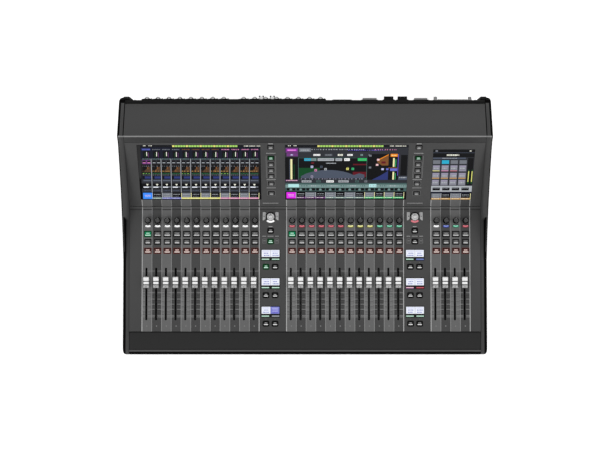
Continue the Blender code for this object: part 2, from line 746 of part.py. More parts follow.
def make_encoders():
    """The channel knobs, whose shafts all stand on one board under the panel."""
    board_top = -PANEL_THICKNESS - KNOB_GAP
    base = KNOB_GAP
    top = base + ENCODER_HEIGHT
    shaft_foot = board_top - BOARD_THICKNESS / 2
    knob = turned_mesh(
        "encoder",
        [
            (0, top),
            (0.80 * ENCODER_RADIUS, top),
            (ENCODER_RADIUS, base),
            (ENCODER_SHAFT_RADIUS, base),
            (ENCODER_SHAFT_RADIUS, shaft_foot),
            (0, shaft_foot),
        ],
        8,
    )
    places = encoder_places()
    left, right = places[0][0], places[-1][0]
    border = 2 * ENCODER_RADIUS
    size = (right - left + border, border, BOARD_THICKNESS)
    centre = ((left + right) / 2, -KNOB_ROW, board_top - BOARD_THICKNESS / 2)
    board = add_object("encoder_board", box_mesh("board", [(size, centre)]), knob_black, fader_plane)
    notch = 2 * (SELECT_SHAFT_RADIUS + BOARD_NOTCH)
    notch_size = (notch, 2 * notch, 2 * SELECT_SHAFT_DEPTH)
    notches = [(notch_size, (x, y + notch / 2, 0)) for x, y, _ in select_places()]
    cut_boxes(board, notches, fader_plane)
    join_mesh(board, copies_mesh("encoders", knob, places), fader_plane)


def make_select_knobs():
    """The two larger knobs, one in each key column, which turn without limit."""
    base = KNOB_GAP
    top = base + SELECT_HEIGHT
    knob = turned_mesh(
        "select_knob",
        [
            (0, top),
            (0.66 * SELECT_RADIUS, top),
            (0.72 * SELECT_RADIUS, top - 0.2 * SELECT_HEIGHT),
            (SELECT_RADIUS, base + 0.3 * SELECT_HEIGHT),
            (SELECT_RADIUS, base),
            (SELECT_SHAFT_RADIUS, base),
            (SELECT_SHAFT_RADIUS, -SELECT_SHAFT_DEPTH),
            (0, -SELECT_SHAFT_DEPTH),
        ],
        20,
    )
    for name, place in zip(("left_select_knob", "right_select_knob"), select_places()):
        add_object(name, knob, silver, fader_plane, place)


# --- Rear sockets and what is inside -----------------------------------------------------------
def socket_positions(count):
    """World X of the sockets along a row, in groups with a gap between them."""
    return [
        SOCKET_FIRST_X + i * SOCKET_PITCH + (i // SOCKETS_PER_GROUP) * SOCKET_GROUP_GAP
        for i in range(count)
    ]


def socket_blocks():
    """Each block's length, height, world X and place along the rear plane."""
    blocks = {}
    for name, count, drop in (
        ("mic_input_sockets", 2 * SOCKETS_PER_GROUP, SOCKET_ROW_DROP),
        ("output_sockets", SOCKETS_PER_GROUP, OUTPUT_ROW_DROP),
    ):
        xs = socket_positions(count)
        blocks[name] = (xs[-1] - xs[0] + SOCKET_PITCH, SOCKET_BLOCK_HEIGHT, (xs[0] + xs[-1]) / 2, -drop)
    inlet_length = 2 * (INLET_SPREAD + INLET_BORDER) + INLET_WELL_WIDTH
    blocks["power_inlets"] = (inlet_length, INLET_BLOCK_HEIGHT, INLET_X, -INLET_DROP)
    return blocks


def make_sockets():
    """Blocks of sockets a little proud of the rear panel. Outputs and inlets are cups, inputs have solid faces."""
    wells = {
        "output_sockets": [(x, SOCKET_WELL, SOCKET_WELL) for x in socket_positions(SOCKETS_PER_GROUP)],
        "power_inlets": [
            (INLET_X + side * INLET_SPREAD, INLET_WELL_WIDTH, INLET_WELL_HEIGHT) for side in (-1, 1)
        ],
    }
    for name, (length, height, x, y) in socket_blocks().items():
        size = (length, height, SOCKET_BLOCK_DEPTH)
        centre = (-x, y, SOCKET_BLOCK_PROUD - SOCKET_BLOCK_DEPTH / 2)
        block = add_object(name, box_mesh(name, [(size, centre)]), socket_black, rear_plane)
        if name in wells:
            depth = 2 * SOCKET_WELL_DEPTH
            holes = [
                ((width, tall, depth), (-well_x, y, SOCKET_BLOCK_PROUD))
                for well_x, width, tall in wells[name]
            ]
            cut_boxes(block, holes, rear_plane)


def make_electronics():
    """The main board on the tray floor, and the power supply behind it."""
    floor = FOOT_HEIGHT + TRAY_WALL
    inside_front = profile.crease.x
    inside_rear = profile.rear_foot.x - TRAY_WALL
    board_length = 0.40 * (inside_rear - inside_front)
    board_y = inside_front + 0.55 * board_length
    board_size = (0.70 * INNER_WIDTH, board_length, BOARD_THICKNESS)
    add_object(
        "main_board",
        box_mesh("main_board", [(board_size, (0, 0, 0))]),
        board_green,
        location=(0, board_y, floor + BOARD_STANDOFF),
    )
    supply_length = 0.40 * (inside_rear - inside_front)
    supply_size = (0.30 * INNER_WIDTH, supply_length, SUPPLY_HEIGHT)
    supply_y = inside_rear - SUPPLY_CLEARANCE - supply_length / 2
    supply = add_object(
        "power_supply",
        box_mesh("power_supply", [(supply_size, (0, 0, 0))]),
        bare_metal,
        location=(0.25 * INNER_WIDTH, supply_y, floor + GAP + supply_size[2] / 2),
    )
    pitch = supply_size[0] / (SUPPLY_FINS + 1)
    groove = (pitch / 2, 2 * supply_length, 2 * FIN_HEIGHT)
    grooves = [
        (groove, ((i - (SUPPLY_FINS - 1) / 2) * pitch, 0, SUPPLY_HEIGHT / 2))
        for i in range(SUPPLY_FINS)
    ]
    cut_boxes(supply, grooves, supply)


clear_scene()
console = new_collection("mixing_console")
cutters = new_collection("cutters")
grey_casing = material("grey_casing", (0.065, 0.065, 0.067), 0.45)
grey_panel = material("grey_panel", (0.065, 0.065, 0.067), 0.50)
black_metal = material("black_metal", (0.010, 0.010, 0.010), 0.45)
soft_black = material("soft_black", (0.030, 0.030, 0.030), 0.75)
rubber = material("rubber", (0.008, 0.008, 0.008), 0.85)
glass_black = material("glass_black", (0.006, 0.006, 0.007), 0.08)
key_grey = material("key_grey", (0.050, 0.050, 0.052), 0.55)
knob_black = material("knob_black", (0.012, 0.012, 0.012), 0.40)
white_cap = material("white_cap", (0.80, 0.80, 0.80), 0.35)
silver = material("silver", (0.60, 0.60, 0.61), 0.30, 1.0)
bare_metal = material("bare_metal", (0.55, 0.56, 0.57), 0.45, 1.0)
socket_black = material("socket_black", (0.012, 0.012, 0.013), 0.50)
board_green = material("board_green", (0.015, 0.090, 0.040), 0.50)

profile = SideProfile()
fader_plane = plane_empty("fader_plane", profile.crease, (FADER_SLOPE, 0, 0))
display_plane = plane_empty("display_plane", profile.crease, (DISPLAY_SLOPE, 0, 0))
rear_plane = plane_empty("rear_plane", profile.ledge_rear, (math.pi / 2 - REAR_SLANT, 0, math.pi))

make_tray()
make_cheeks()
make_hood()
make_rear_panel()
make_front_rail()
make_armrest()
make_runners_and_bumpers()
make_display_panel()
make_displays()
make_fader_panel()
make_fader_frame()
make_faders()
make_encoders()
make_select_knobs()
make_keys()
make_sockets()
make_electronics()
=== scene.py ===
"""Looks of the mixing console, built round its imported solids. Lengths are in metres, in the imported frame.

+X is to the right of the person at the desk, +Y to the rear and +Z up. Most pieces are drawn in the
coordinates of a sloping panel: x to the right, y up the panel and z out of it, with y = 0 at the crease
between the fader panel and the display panel.
"""

import json
import math
import random

import bmesh
import bpy
from mathutils import Matrix, Vector


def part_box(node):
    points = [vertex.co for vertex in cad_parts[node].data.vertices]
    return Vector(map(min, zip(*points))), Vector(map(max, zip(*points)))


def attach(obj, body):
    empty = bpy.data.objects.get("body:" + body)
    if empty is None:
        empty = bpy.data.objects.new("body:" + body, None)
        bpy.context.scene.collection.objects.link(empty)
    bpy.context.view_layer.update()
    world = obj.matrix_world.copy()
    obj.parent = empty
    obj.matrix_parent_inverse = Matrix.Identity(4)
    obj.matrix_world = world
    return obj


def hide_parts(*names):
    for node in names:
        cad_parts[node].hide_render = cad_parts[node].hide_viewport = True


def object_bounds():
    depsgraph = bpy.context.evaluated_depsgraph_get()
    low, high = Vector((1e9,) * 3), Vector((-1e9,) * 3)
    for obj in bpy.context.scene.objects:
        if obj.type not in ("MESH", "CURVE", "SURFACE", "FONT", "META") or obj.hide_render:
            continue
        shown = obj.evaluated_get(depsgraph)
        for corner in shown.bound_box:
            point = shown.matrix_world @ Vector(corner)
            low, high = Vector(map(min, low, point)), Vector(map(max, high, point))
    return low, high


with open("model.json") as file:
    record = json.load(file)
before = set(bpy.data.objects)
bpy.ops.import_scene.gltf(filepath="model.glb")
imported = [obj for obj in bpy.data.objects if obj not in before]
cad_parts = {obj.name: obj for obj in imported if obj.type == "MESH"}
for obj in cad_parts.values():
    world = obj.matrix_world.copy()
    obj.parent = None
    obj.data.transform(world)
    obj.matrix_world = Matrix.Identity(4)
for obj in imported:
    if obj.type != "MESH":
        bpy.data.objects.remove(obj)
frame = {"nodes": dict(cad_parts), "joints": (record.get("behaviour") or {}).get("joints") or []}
cad_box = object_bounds()

# --- Layout that the pieces share ---------------------------------------------------------------
BANK_CHANNELS = (12, 12, 4)
CHANNEL_PITCH = 0.0212
STRIP_TO_FADER = 0.0093  # from a channel strip's left edge to its slot
COLUMN_CENTRE = 0.0247  # from a key column's left edge to the middle of its keys
SLOT_START = 0.1340
SLOT_LENGTH = 0.1129
LED_RADIUS = 0.0120  # from a knob's centre to the middle of its arc of lights
BANK_DISPLAY_ROW = 0.1022
BANK_DISPLAY_PITCH = 0.0618
SOCKET_PITCH = 0.0233
SOCKET_GROUP_GAP = 0.0193
SOCKETS_PER_GROUP = 8
PRINT = 0.00012  # how far printed marks stand proud
LAYER = 0.00008  # the step from one layer of a display's picture to the next
REAR_SLANT = math.radians(9.0)
GROOVE_SHADE = (0.3891, 0.3921)  # the painted shade line along each cheek, in the corner beside its raised fin, in |X|
BLACK_EDGE = 0.3898
SEAM = 0.3836
FIN_FOOT_Y = -0.062
GROOVE_REAR_Y = 0.0072
RIDGE_HALF = 0.0012  # half the width of the painted highlight line along the ridge
TOUCH = 1e-4  # how close counts as lying on a face or a line


# --- Colours and materials ----------------------------------------------------------------------
def linear(*shades):
    """Linear colour of one grey shade, or of red, green and blue shades, from 0 to 255."""
    rgb = shades * 3 if len(shades) == 1 else shades
    return tuple((c / 255 / 12.92) if c < 10.3 else ((c / 255 + 0.055) / 1.055) ** 2.4 for c in rgb)


class Graph:
    """A material's node tree, with short ways to add and join nodes."""

    def __init__(self, name):
        self.material = bpy.data.materials.new(name)
        self.material.use_nodes = True
        self.tree = self.material.node_tree
        self.shader = self.tree.nodes["Principled BSDF"]
        self.place = self.node("ShaderNodeTexCoord").outputs["Object"]

    def node(self, kind, **settings):
        made = self.tree.nodes.new(kind)
        for key, value in settings.items():
            setattr(made, key, value)
        return made

    def feed(self, socket, value):
        if isinstance(value, bpy.types.NodeSocket):
            self.tree.links.new(value, socket)
        else:
            socket.default_value = value

    def put(self, name, value):
        """Sets or feeds one of the shader's own inputs."""
        self.feed(self.shader.inputs[name], value)

    def math(self, operation, *values):
        made = self.node("ShaderNodeMath", operation=operation)
        for socket, value in zip(made.inputs, values):
            self.feed(socket, value)
        return made.outputs[0]

    def below(self, value, limit):
        return self.math("LESS_THAN", value, limit)

    def above(self, value, limit):
        return self.math("GREATER_THAN", value, limit)

    def noise(self, scale, detail=3.0):
        made = self.node("ShaderNodeTexNoise")
        self.feed(made.inputs["Vector"], self.place)
        made.inputs["Scale"].default_value = scale
        made.inputs["Detail"].default_value = detail
        return made.outputs["Fac"]

    def mix(self, factor, first, second):
        made = self.node("ShaderNodeMix", data_type="RGBA")
        self.feed(made.inputs["Factor"], factor)
        for socket, value in ((made.inputs["A"], first), (made.inputs["B"], second)):
            self.feed(socket, value if isinstance(value, bpy.types.NodeSocket) else (*value, 1))
        return made.outputs["Result"]

    def spread(self, factor, low, high):
        made = self.node("ShaderNodeMapRange")
        self.feed(made.inputs["Value"], factor)
        made.inputs["To Min"].default_value = low
        made.inputs["To Max"].default_value = high
        return made.outputs["Result"]

    def bump(self, height, strength, distance):
        made = self.node("ShaderNodeBump")
        made.inputs["Strength"].default_value = strength
        made.inputs["Distance"].default_value = distance
        self.feed(made.inputs["Height"], height)
        self.put("Normal", made.outputs["Normal"])


def surface(name, colour, roughness, grain=900.0, bump=0.15, metallic=0.0, specular=0.25, variation=0.08):
    """A moulded, coated or metal surface: its colour and roughness wander a little, over a fine grain."""
    graph = Graph(name)
    base = linear(*colour)
    cloud = graph.noise(grain / 12)
    tint = graph.mix(
        cloud,
        [c * (1 - variation) for c in base],
        [min(1.0, c * (1 + variation)) for c in base],
    )
    graph.put("Base Color", tint)
    graph.put("Roughness", graph.spread(cloud, roughness - 0.05, roughness + 0.05))
    graph.put("Metallic", metallic)
    graph.put("Specular IOR Level", specular)
    graph.bump(graph.noise(grain), bump, 0.0002)
    return graph.material


def lamp(name, colour, strength=1.0, base_share=0.06):
    """A lit part of a screen, a lamp or a lit key: the light is a little uneven over its face."""
    graph = Graph(name)
    lit = linear(*colour)
    cloud = graph.noise(260.0, 2.0)
    glow = graph.mix(cloud, [c * 0.90 for c in lit], [min(1.0, c * 1.08) for c in lit])
    graph.put("Emission Color", glow)
    graph.put("Emission Strength", strength)
    unlit = graph.mix(cloud, [c * base_share * 0.8 for c in lit], [c * base_share for c in lit])
    graph.put("Base Color", unlit)
    graph.put("Roughness", 0.35)
    graph.put("Specular IOR Level", 0.08)
    return graph.material


# --- Panels as planes ---------------------------------------------------------------------------
def node_points(node):
    return [v.co.copy() for v in frame["nodes"][node].data.vertices]


def plane_box(node, plane):
    """A node's lowest and highest corner in a panel's coordinates."""
    inverse = plane.inverted()
    points = [inverse @ p for p in node_points(node)]
    low = Vector([min(p[i] for p in points) for i in range(3)])
    high = Vector([max(p[i] for p in points) for i in range(3)])
    return low, high


def joint_axis(child):
    return next(Vector(j["axis"]) for j in frame["joints"] if j["child"] == child)


def plane_matrix(origin, normal):
    """The matrix of a panel whose x axis is level. Its y axis runs up the panel."""
    normal = normal.normalized()
    level = Vector((0, 0, 1)).cross(normal).normalized()
    up = normal.cross(level)
    matrix = Matrix((level, up, normal)).transposed().to_4x4()
    return Matrix.Translation(origin) @ matrix


def crease_point(first, second):
    """Where two panels' outer faces meet. Each is given as its normal and its distance from the origin."""
    (a, d1), (b, d2) = first, second
    cross = a.y * b.z - a.z * b.y
    return Vector((0, (d1 * b.z - d2 * a.z) / cross, (a.y * d2 - b.y * d1) / cross))


def panel_planes():
    faces = []
    for node, moving in (("fader_panel", "left_bank_keys"), ("display_panel", "left_screen_keys")):
        normal = joint_axis(moving)
        normal = normal if normal.z > 0 else -normal
        faces.append((normal, max(normal.dot(p) for p in node_points(node))))
    crease = crease_point(*faces)
    return plane_matrix(crease, faces[0][0]), plane_matrix(crease, faces[1][0])


def rear_plane_matrix():
    normal = Vector((0, math.cos(REAR_SLANT), math.sin(REAR_SLANT)))
    points = node_points("rear_panel")
    reach = max(normal.dot(p) for p in points)
    top = max(p.z for p in points)
    return plane_matrix(Vector((0, (reach - top * normal.z) / normal.y, top)), normal)


fader_plane, display_plane = panel_planes()
rear_plane = rear_plane_matrix()


def top_faces(node, plane):
    """The separate flat tops that a node has at its greatest height, as (x, y, width, length), row by row."""
    inverse = plane.inverted()
    bm = bmesh.new()
    bm.from_mesh(frame["nodes"][node].data)
    bm.transform(inverse)
    bmesh.ops.remove_doubles(bm, verts=bm.verts, dist=1e-5)
    high = max(v.co.z for v in bm.verts) - 2e-5
    left = {f for f in bm.faces if all(v.co.z > high for v in f.verts)}
    found = []
    while left:
        island, edge_faces = set(), [left.pop()]
        while edge_faces:
            face = edge_faces.pop()
            island.update(face.verts)
            near = {f for e in face.edges for f in e.link_faces} & left
            left -= near
            edge_faces += near
        xs = [v.co.x for v in island]
        ys = [v.co.y for v in island]
        size = (max(xs) - min(xs), max(ys) - min(ys))
        found.append(((max(xs) + min(xs)) / 2, (max(ys) + min(ys)) / 2, *size))
    bm.free()
    return sorted(found, key=lambda t: (-round(t[1], 4), t[0]))


def height_of(node, plane):
    return plane_box(node, plane)[1].z


# --- Channel layout, read from the frame --------------------------------------------------------
fader_names = [f"fader_{i + 1:02d}" for i in range(sum(BANK_CHANNELS))]
fader_boxes = [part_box(name) for name in fader_names]
strip_edges = [(low.x + high.x) / 2 - STRIP_TO_FADER for low, high in fader_boxes]
bank_first = [sum(BANK_CHANNELS[:i]) for i in range(len(BANK_CHANNELS))]
bank_starts = [strip_edges[i] for i in bank_first]
bank_ends = [start + count * CHANNEL_PITCH for start, count in zip(bank_starts, BANK_CHANNELS)]
column_starts = bank_ends[:2]
panel_low = plane_box("fader_panel", fader_plane)[0].y


# --- Mesh building ------------------------------------------------------------------------------
def rounded(width, length, radius, z, x=0.0, y=0.0, steps=3):
    """Points of a rounded rectangle at height z, anticlockwise from the right side's lower end."""
    radius = min(radius, width / 2 - 1e-6, length / 2 - 1e-6)
    if radius <= 0:
        return [
            Vector((x + sx * width / 2, y + sy * length / 2, z))
            for sx, sy in ((1, -1), (1, 1), (-1, 1), (-1, -1))
        ]
    corners = ((1, 1, 0), (-1, 1, 90), (-1, -1, 180), (1, -1, 270))
    points = []
    for sx, sy, start in corners:
        cx, cy = x + sx * (width / 2 - radius), y + sy * (length / 2 - radius)
        for i in range(steps + 1):
            angle = math.radians(start + 90 * i / steps)
            points.append(Vector((cx + radius * math.cos(angle), cy + radius * math.sin(angle), z)))
    return points


def circle(radius, z, x=0.0, y=0.0, steps=24, ripple=0.0):
    """Points round a circle. With a ripple, every second point is that much further in."""
    points = []
    for i in range(steps):
        angle = 2 * math.pi * i / steps
        reach = radius - (ripple if i % 2 else 0)
        points.append(Vector((x + reach * math.cos(angle), y + reach * math.sin(angle), z)))
    return points


class Shapes:
    """Gathers closed shapes, drawn in a panel's coordinates, into one piece with several materials."""

    def __init__(self, name, plane=None):
        self.name = name
        self.plane = plane or Matrix.Identity(4)
        self.bm = bmesh.new()
        self.materials = []

    def index(self, material):
        if material not in self.materials:
            self.materials.append(material)
        return self.materials.index(material)

    def loft(self, rings, material, closed=False, bands=None, cap=None):
        """Joins rings of points from the lowest up. A closed loft joins the last ring to the first."""
        rows = [[self.bm.verts.new(p) for p in ring] for ring in rings]
        main = self.index(material)
        pairs = list(zip(rows, rows[1:] + (rows[:1] if closed else [])))
        for k, (low, high) in enumerate(pairs):
            count = len(low)
            paint = self.index(bands[k]) if bands and bands[k] else main
            for i in range(count):
                j = (i + 1) % count
                face = self.bm.faces.new((low[i], low[j], high[j], high[i]))
                face.material_index = paint
        if not closed:
            self.bm.faces.new(list(reversed(rows[0]))).material_index = main
            self.bm.faces.new(rows[-1]).material_index = self.index(cap) if cap else main

    def slab(self, x, y, width, length, low, high, material, radius=0.0, soft=0.0):
        """A flat block, with an eased upper edge if soft is given."""
        rings = [rounded(width, length, radius, low, x, y)]
        if soft:
            rings.append(rounded(width, length, radius, high - soft, x, y))
            for inset, drop in ((0.3 * soft, 0.3 * soft), (soft, 0)):
                inner = max(radius - inset, 0)
                rings.append(rounded(width - 2 * inset, length - 2 * inset, inner, high - drop, x, y))
        else:
            rings.append(rounded(width, length, radius, high, x, y))
        self.loft(rings, material)

    def frame(self, x, y, outer, inner, low, high, material, radius=0.0):
        """A flat frame. Outer and inner are (width, length)."""
        inner_radius = max(radius - (outer[0] - inner[0]) / 2, 0.0002) if radius else 0.0
        self.loft(
            [
                rounded(*outer, radius, low, x, y),
                rounded(*outer, radius, high, x, y),
                rounded(*inner, inner_radius, high, x, y),
                rounded(*inner, inner_radius, low, x, y),
            ],
            material,
            closed=True,
        )

    def turned(self, x, y, profile, material, steps=24, ripple=None, bands=None, cap=None):
        """A turned shape from a profile of (radius, z), lowest first. Ripple gives each ring's fluting."""
        rings = []
        for i, (radius, z) in enumerate(profile):
            rings.append(circle(radius, z, x, y, steps, ripple[i] if ripple else 0.0))
        self.loft(rings, material, bands=bands, cap=cap)

    def arc(self, x, y, radius, width, start, end, low, high, material, steps=10):
        """A band along an arc about (x, y), from the start angle to the end angle in degrees."""
        rings = []
        for i in range(steps + 1):
            angle = math.radians(start + (end - start) * i / steps)
            out = Vector((math.cos(angle), math.sin(angle), 0))
            centre = Vector((x, y, 0))
            ends = [(radius + width / 2, low), (radius + width / 2, high)]
            ends += [(radius - width / 2, high), (radius - width / 2, low)]
            rings.append([centre + out * r + Vector((0, 0, z)) for r, z in ends])
        self.loft(rings, material)

    def prism(self, points, low, high, material):
        """A flat outline of (x, y) points, anticlockwise, between two heights."""
        rings = [[Vector((x, y, z)) for x, y in points] for z in (low, high)]
        self.loft(rings, material)

    def mark(self, x, y, width, length, material, radius=0.0):
        """A mark printed on a panel."""
        self.slab(x, y, width, length, 0, PRINT, material, radius)

    def ring(self, x, y, profile, material, steps=24):
        """A turned ring, whose profile of (radius, z) closes on itself."""
        self.loft([circle(radius, z, x, y, steps) for radius, z in profile], material, closed=True)

    def mesh(self):
        """All the shapes as one mesh, moved from the panel's coordinates to their place."""
        mesh = bpy.data.meshes.new(self.name)
        bmesh.ops.recalc_face_normals(self.bm, faces=self.bm.faces)
        self.bm.transform(self.plane)
        self.bm.to_mesh(mesh)
        self.bm.free()
        for material in self.materials:
            mesh.materials.append(material)
        return mesh

    def build(self, body, slot, replaces=(), angle=32.0):
        return place_piece(self.mesh(), self.name, body, replaces, angle)


def add_object(name, data):
    made = bpy.data.objects.new(name, data)
    bpy.context.scene.collection.objects.link(made)
    return made


def place_piece(mesh, name, body, replaces=(), angle=32.0):
    """Shades a mesh, makes it a piece of the console and lets it ride on its body."""
    mesh.shade_smooth()
    mesh.set_sharp_from_angle(angle=math.radians(angle))
    obj = add_object(name, mesh)
    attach(obj, body)
    if replaces:
        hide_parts(*replaces)
    return obj


def round_front_corners(bm, radius=0.0075, depth=0.024, steps=6):
    """Rounds a side piece's front corner, seen from above, by easing its nose back at its outer face."""
    half, front = cad_box[1].x, cad_box[0].y
    for side in (-1, 1):
        for i in range(steps):
            x = side * (half - radius + radius * math.sin(math.radians(90 * i / steps)))
            parts = [*bm.verts, *bm.edges, *bm.faces]
            bmesh.ops.bisect_plane(bm, geom=parts, dist=1e-6, plane_co=(x, 0, 0), plane_no=(1, 0, 0))
    for v in bm.verts:
        over = abs(v.co.x) - (half - radius)
        if over > 0:
            pull = radius - math.sqrt(max(radius * radius - over * over, 0))
            v.co.y += pull * max(0.0, 1 - (v.co.y - front) / depth)


def eased_copy(node, name, material, rules, rounded_front=False):
    """A copy of a CAD solid whose edges are eased. Each rule is (width, steps, test of an edge's ends)."""
    bm = bmesh.new()
    bm.from_mesh(frame["nodes"][node].data)
    bmesh.ops.remove_doubles(bm, verts=bm.verts, dist=1e-5)
    bmesh.ops.dissolve_limit(bm, angle_limit=math.radians(0.5), verts=bm.verts, edges=bm.edges)
    for width, steps, test in rules:
        edges = [
            e
            for e in bm.edges
            if e.is_manifold and e.calc_face_angle(0) > math.radians(15) and test(*(v.co for v in e.verts))
        ]
        if edges:
            bmesh.ops.bevel(
                bm,
                geom=edges,
                offset=width,
                segments=steps,
                profile=0.5,
                affect="EDGES",
                clamp_overlap=True,
            )
    if rounded_front:
        round_front_corners(bm)
    low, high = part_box(node)
    for v in bm.verts:
        for i in range(3):
            v.co[i] = min(max(v.co[i], low[i]), high[i])
    mesh = bpy.data.meshes.new(name)
    bm.to_mesh(mesh)
    bm.free()
    mesh.materials.append(material)
    return place_piece(mesh, name, "console", (node,))


def along_x(a, b):
    return abs(a.x - b.x) > 0.3


def near(value, target, reach=0.002):
    return abs(value - target) < reach


# --- Materials ----------------------------------------------------------------------------------
def both(graph, *masks):
    product = masks[0]
    for mask in masks[1:]:
        product = graph.math("MULTIPLY", product, mask)
    return product


def either(graph, *masks):
    most = masks[0]
    for mask in masks[1:]:
        most = graph.math("MAXIMUM", most, mask)
    return most


def casing_paint(name, shades, with_edges):
    """The casing's grey, with a painted highlight line along the ridge. The hood also has painted shade on
    its lip in front of the ridge; side pieces instead have black lines and edges, of which the line beside
    the raised fin is painted shade and the outer edge is painted dark reflection.
    """
    graph = Graph(name)
    x, y, _ = separated(graph)
    ridge_y = max(node_points("hood"), key=lambda p: p.z).y
    cloud = graph.noise(70.0)
    colour = graph.mix(cloud, linear(shades[0]), linear(shades[1]))
    off_ridge = graph.math("ABSOLUTE", graph.math("SUBTRACT", y, ridge_y))
    if not with_edges:
        # painted shade: the hood's lip, in front of the ridge, is painted darker as it faces away from the
        # light
        before = graph.below(y, ridge_y - RIDGE_HALF)
        colour = graph.mix(before, colour, linear(45))
    # painted highlight: a light line along the ridge, where its rounded edge catches the light
    colour = graph.mix(graph.below(off_ridge, RIDGE_HALF), colour, linear(126))
    if with_edges:
        reach = graph.math("ABSOLUTE", x)
        ledge_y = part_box("hood")[1].y + 0.0006
        # painted shade: a black line in the corner beside the cheek's raised fin
        groove_shade = both(
            graph,
            graph.above(reach, GROOVE_SHADE[0]),
            graph.below(reach, GROOVE_SHADE[1]),
            graph.below(y, GROOVE_REAR_Y),
        )
        front = both(
            graph, graph.above(reach, BLACK_EDGE), graph.below(y, FIN_FOOT_Y)
        )
        behind = graph.above(y, ridge_y + RIDGE_HALF)
        seam = both(graph, behind, graph.below(reach, SEAM))
        # painted dark reflection: behind the ridge, the rounded outer edge is painted black
        rear_edge = both(graph, behind, graph.above(reach, BLACK_EDGE + 0.0006))
        ledge = graph.above(y, ledge_y)
        # painted dark reflection: the outer 2 mm of each side piece, along its rounded edge, is painted black
        outer = graph.above(reach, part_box("left_cheek")[0].x * -1 - 0.0020)
        black = either(graph, groove_shade, front, seam, rear_edge, ledge, outer)
        colour = graph.mix(black, colour, linear(4))
        graph.put("Specular IOR Level", graph.spread(black, 0.25, 0.03))
    else:
        graph.put("Specular IOR Level", 0.25)
    graph.put("Base Color", colour)
    graph.put("Roughness", graph.spread(cloud, 0.45, 0.55))
    graph.bump(graph.noise(900.0), 0.15, 0.0002)
    return graph.material


def separated(graph):
    made = graph.node("ShaderNodeSeparateXYZ")
    graph.feed(made.inputs[0], graph.place)
    return made.outputs


def strip_paint(name, axis, span, base_shades, light_shades, dark_shades, height_limit=None):
    """A control panel's grey with lighter and darker channel strips. Shades are for both ends of the span;
    the blend between them along the panel is painted shading, lighter where more light falls.
    """
    graph = Graph(name)
    x, y, z = separated(graph)
    light, inside = 0.0, 0.0
    for start, end in zip(bank_starts, bank_ends):
        within = both(graph, graph.above(x, start), graph.below(x, end))
        phase = graph.math("FLOORED_MODULO", graph.math("SUBTRACT", x, start), 2 * CHANNEL_PITCH)
        first = both(graph, within, graph.below(phase, CHANNEL_PITCH))
        light = graph.math("ADD", light, first)
        inside = graph.math("ADD", inside, within)
    if height_limit:
        low = graph.below(z, height_limit)
        light = both(graph, light, low)
        inside = both(graph, inside, low)
    # painted shading: each colour blends from its shade at one end of the span to its shade at the other
    reach = graph.node("ShaderNodeMapRange")
    graph.feed(reach.inputs["Value"], {"y": y, "z": z}[axis])
    reach.inputs["From Min"].default_value = span[0]
    reach.inputs["From Max"].default_value = span[1]
    depth = reach.outputs["Result"]

    def shade(pair):
        return graph.mix(depth, linear(pair[0]), linear(pair[1]))

    colour = graph.mix(inside, shade(base_shades), shade(dark_shades))
    colour = graph.mix(light, colour, shade(light_shades))
    cloud = graph.noise(60.0)
    mottled = graph.mix(graph.spread(cloud, 0.0, 0.10), colour, linear(40))
    graph.put("Base Color", mottled)
    graph.put("Roughness", graph.spread(cloud, 0.48, 0.58))
    graph.put("Specular IOR Level", 0.25)
    graph.bump(graph.noise(1100.0), 0.12, 0.0002)
    return graph.material


def rail_paint():
    """The rounded front edge: grey on top and black where it turns down to the front."""
    graph = Graph("rail_grey")
    _, y, _ = separated(graph)
    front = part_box("front_rail")[0].y
    cloud = graph.noise(70.0)
    grey = graph.mix(cloud, linear(72), linear(76))
    black = graph.below(y, front + 0.0054)
    graph.put("Base Color", graph.mix(black, grey, linear(5)))
    graph.put("Roughness", graph.spread(cloud, 0.42, 0.52))
    graph.put("Specular IOR Level", graph.spread(black, 0.2, 0.03))
    graph.bump(graph.noise(900.0), 0.15, 0.0002)
    return graph.material


def leather_paint():
    """The armrest's soft covering: small pebbled cells over a dark grey."""
    graph = Graph("armrest_cover")
    cells = graph.node("ShaderNodeTexVoronoi", feature="DISTANCE_TO_EDGE")
    graph.feed(cells.inputs["Vector"], graph.place)
    cells.inputs["Scale"].default_value = 850.0
    pebble = graph.spread(cells.outputs["Distance"], 0.0, 1.0)
    cloud = graph.noise(30.0)
    colour = graph.mix(cloud, linear(36), linear(39))
    graph.put("Base Color", graph.mix(graph.spread(pebble, 0.25, 0.0), colour, linear(26)))
    graph.put("Roughness", graph.spread(cloud, 0.62, 0.72))
    graph.put("Specular IOR Level", 0.2)
    graph.bump(pebble, 0.35, 0.0003)
    return graph.material


casing = casing_paint("casing_grey", (51, 54), False)
cheek_grey = casing_paint("cheek_grey", (55, 58), True)
rail_grey = rail_paint()
tray_black = surface("tray_black", (12,), 0.50, grain=700.0, bump=0.3)
rear_black = surface("rear_black", (9,), 0.50, grain=700.0, bump=0.3, specular=0.15)
rubber = surface("rubber_black", (14,), 0.85, grain=1200.0, bump=0.3)
armrest_cover = leather_paint()
glass = surface("display_glass", (9, 9, 12), 0.10, grain=200.0, bump=0.0, specular=0.15)
bezel = surface("display_bezel", (14,), 0.30, specular=0.2)
print_light = surface("print_light", (176,), 0.55)
print_line = surface("strip_line", (142,), 0.55)
print_edge = surface("bank_line", (172,), 0.55)
print_dim = surface("print_dim", (120,), 0.55)
# dark print, and painted shade in the gaps round the keys
dark_print_and_gap_shade = surface("dark_print_and_gap_shade", (8,), 0.60, specular=0.1)
# painted highlight and painted shade along the crease between the panels
crease_highlight = surface("crease_highlight", (88,), 0.60)
crease_shade = surface("crease_shade", (50,), 0.60)
tick_light = surface("tick_light", (134,), 0.55)
tick_dark = surface("tick_dark", (34,), 0.60)
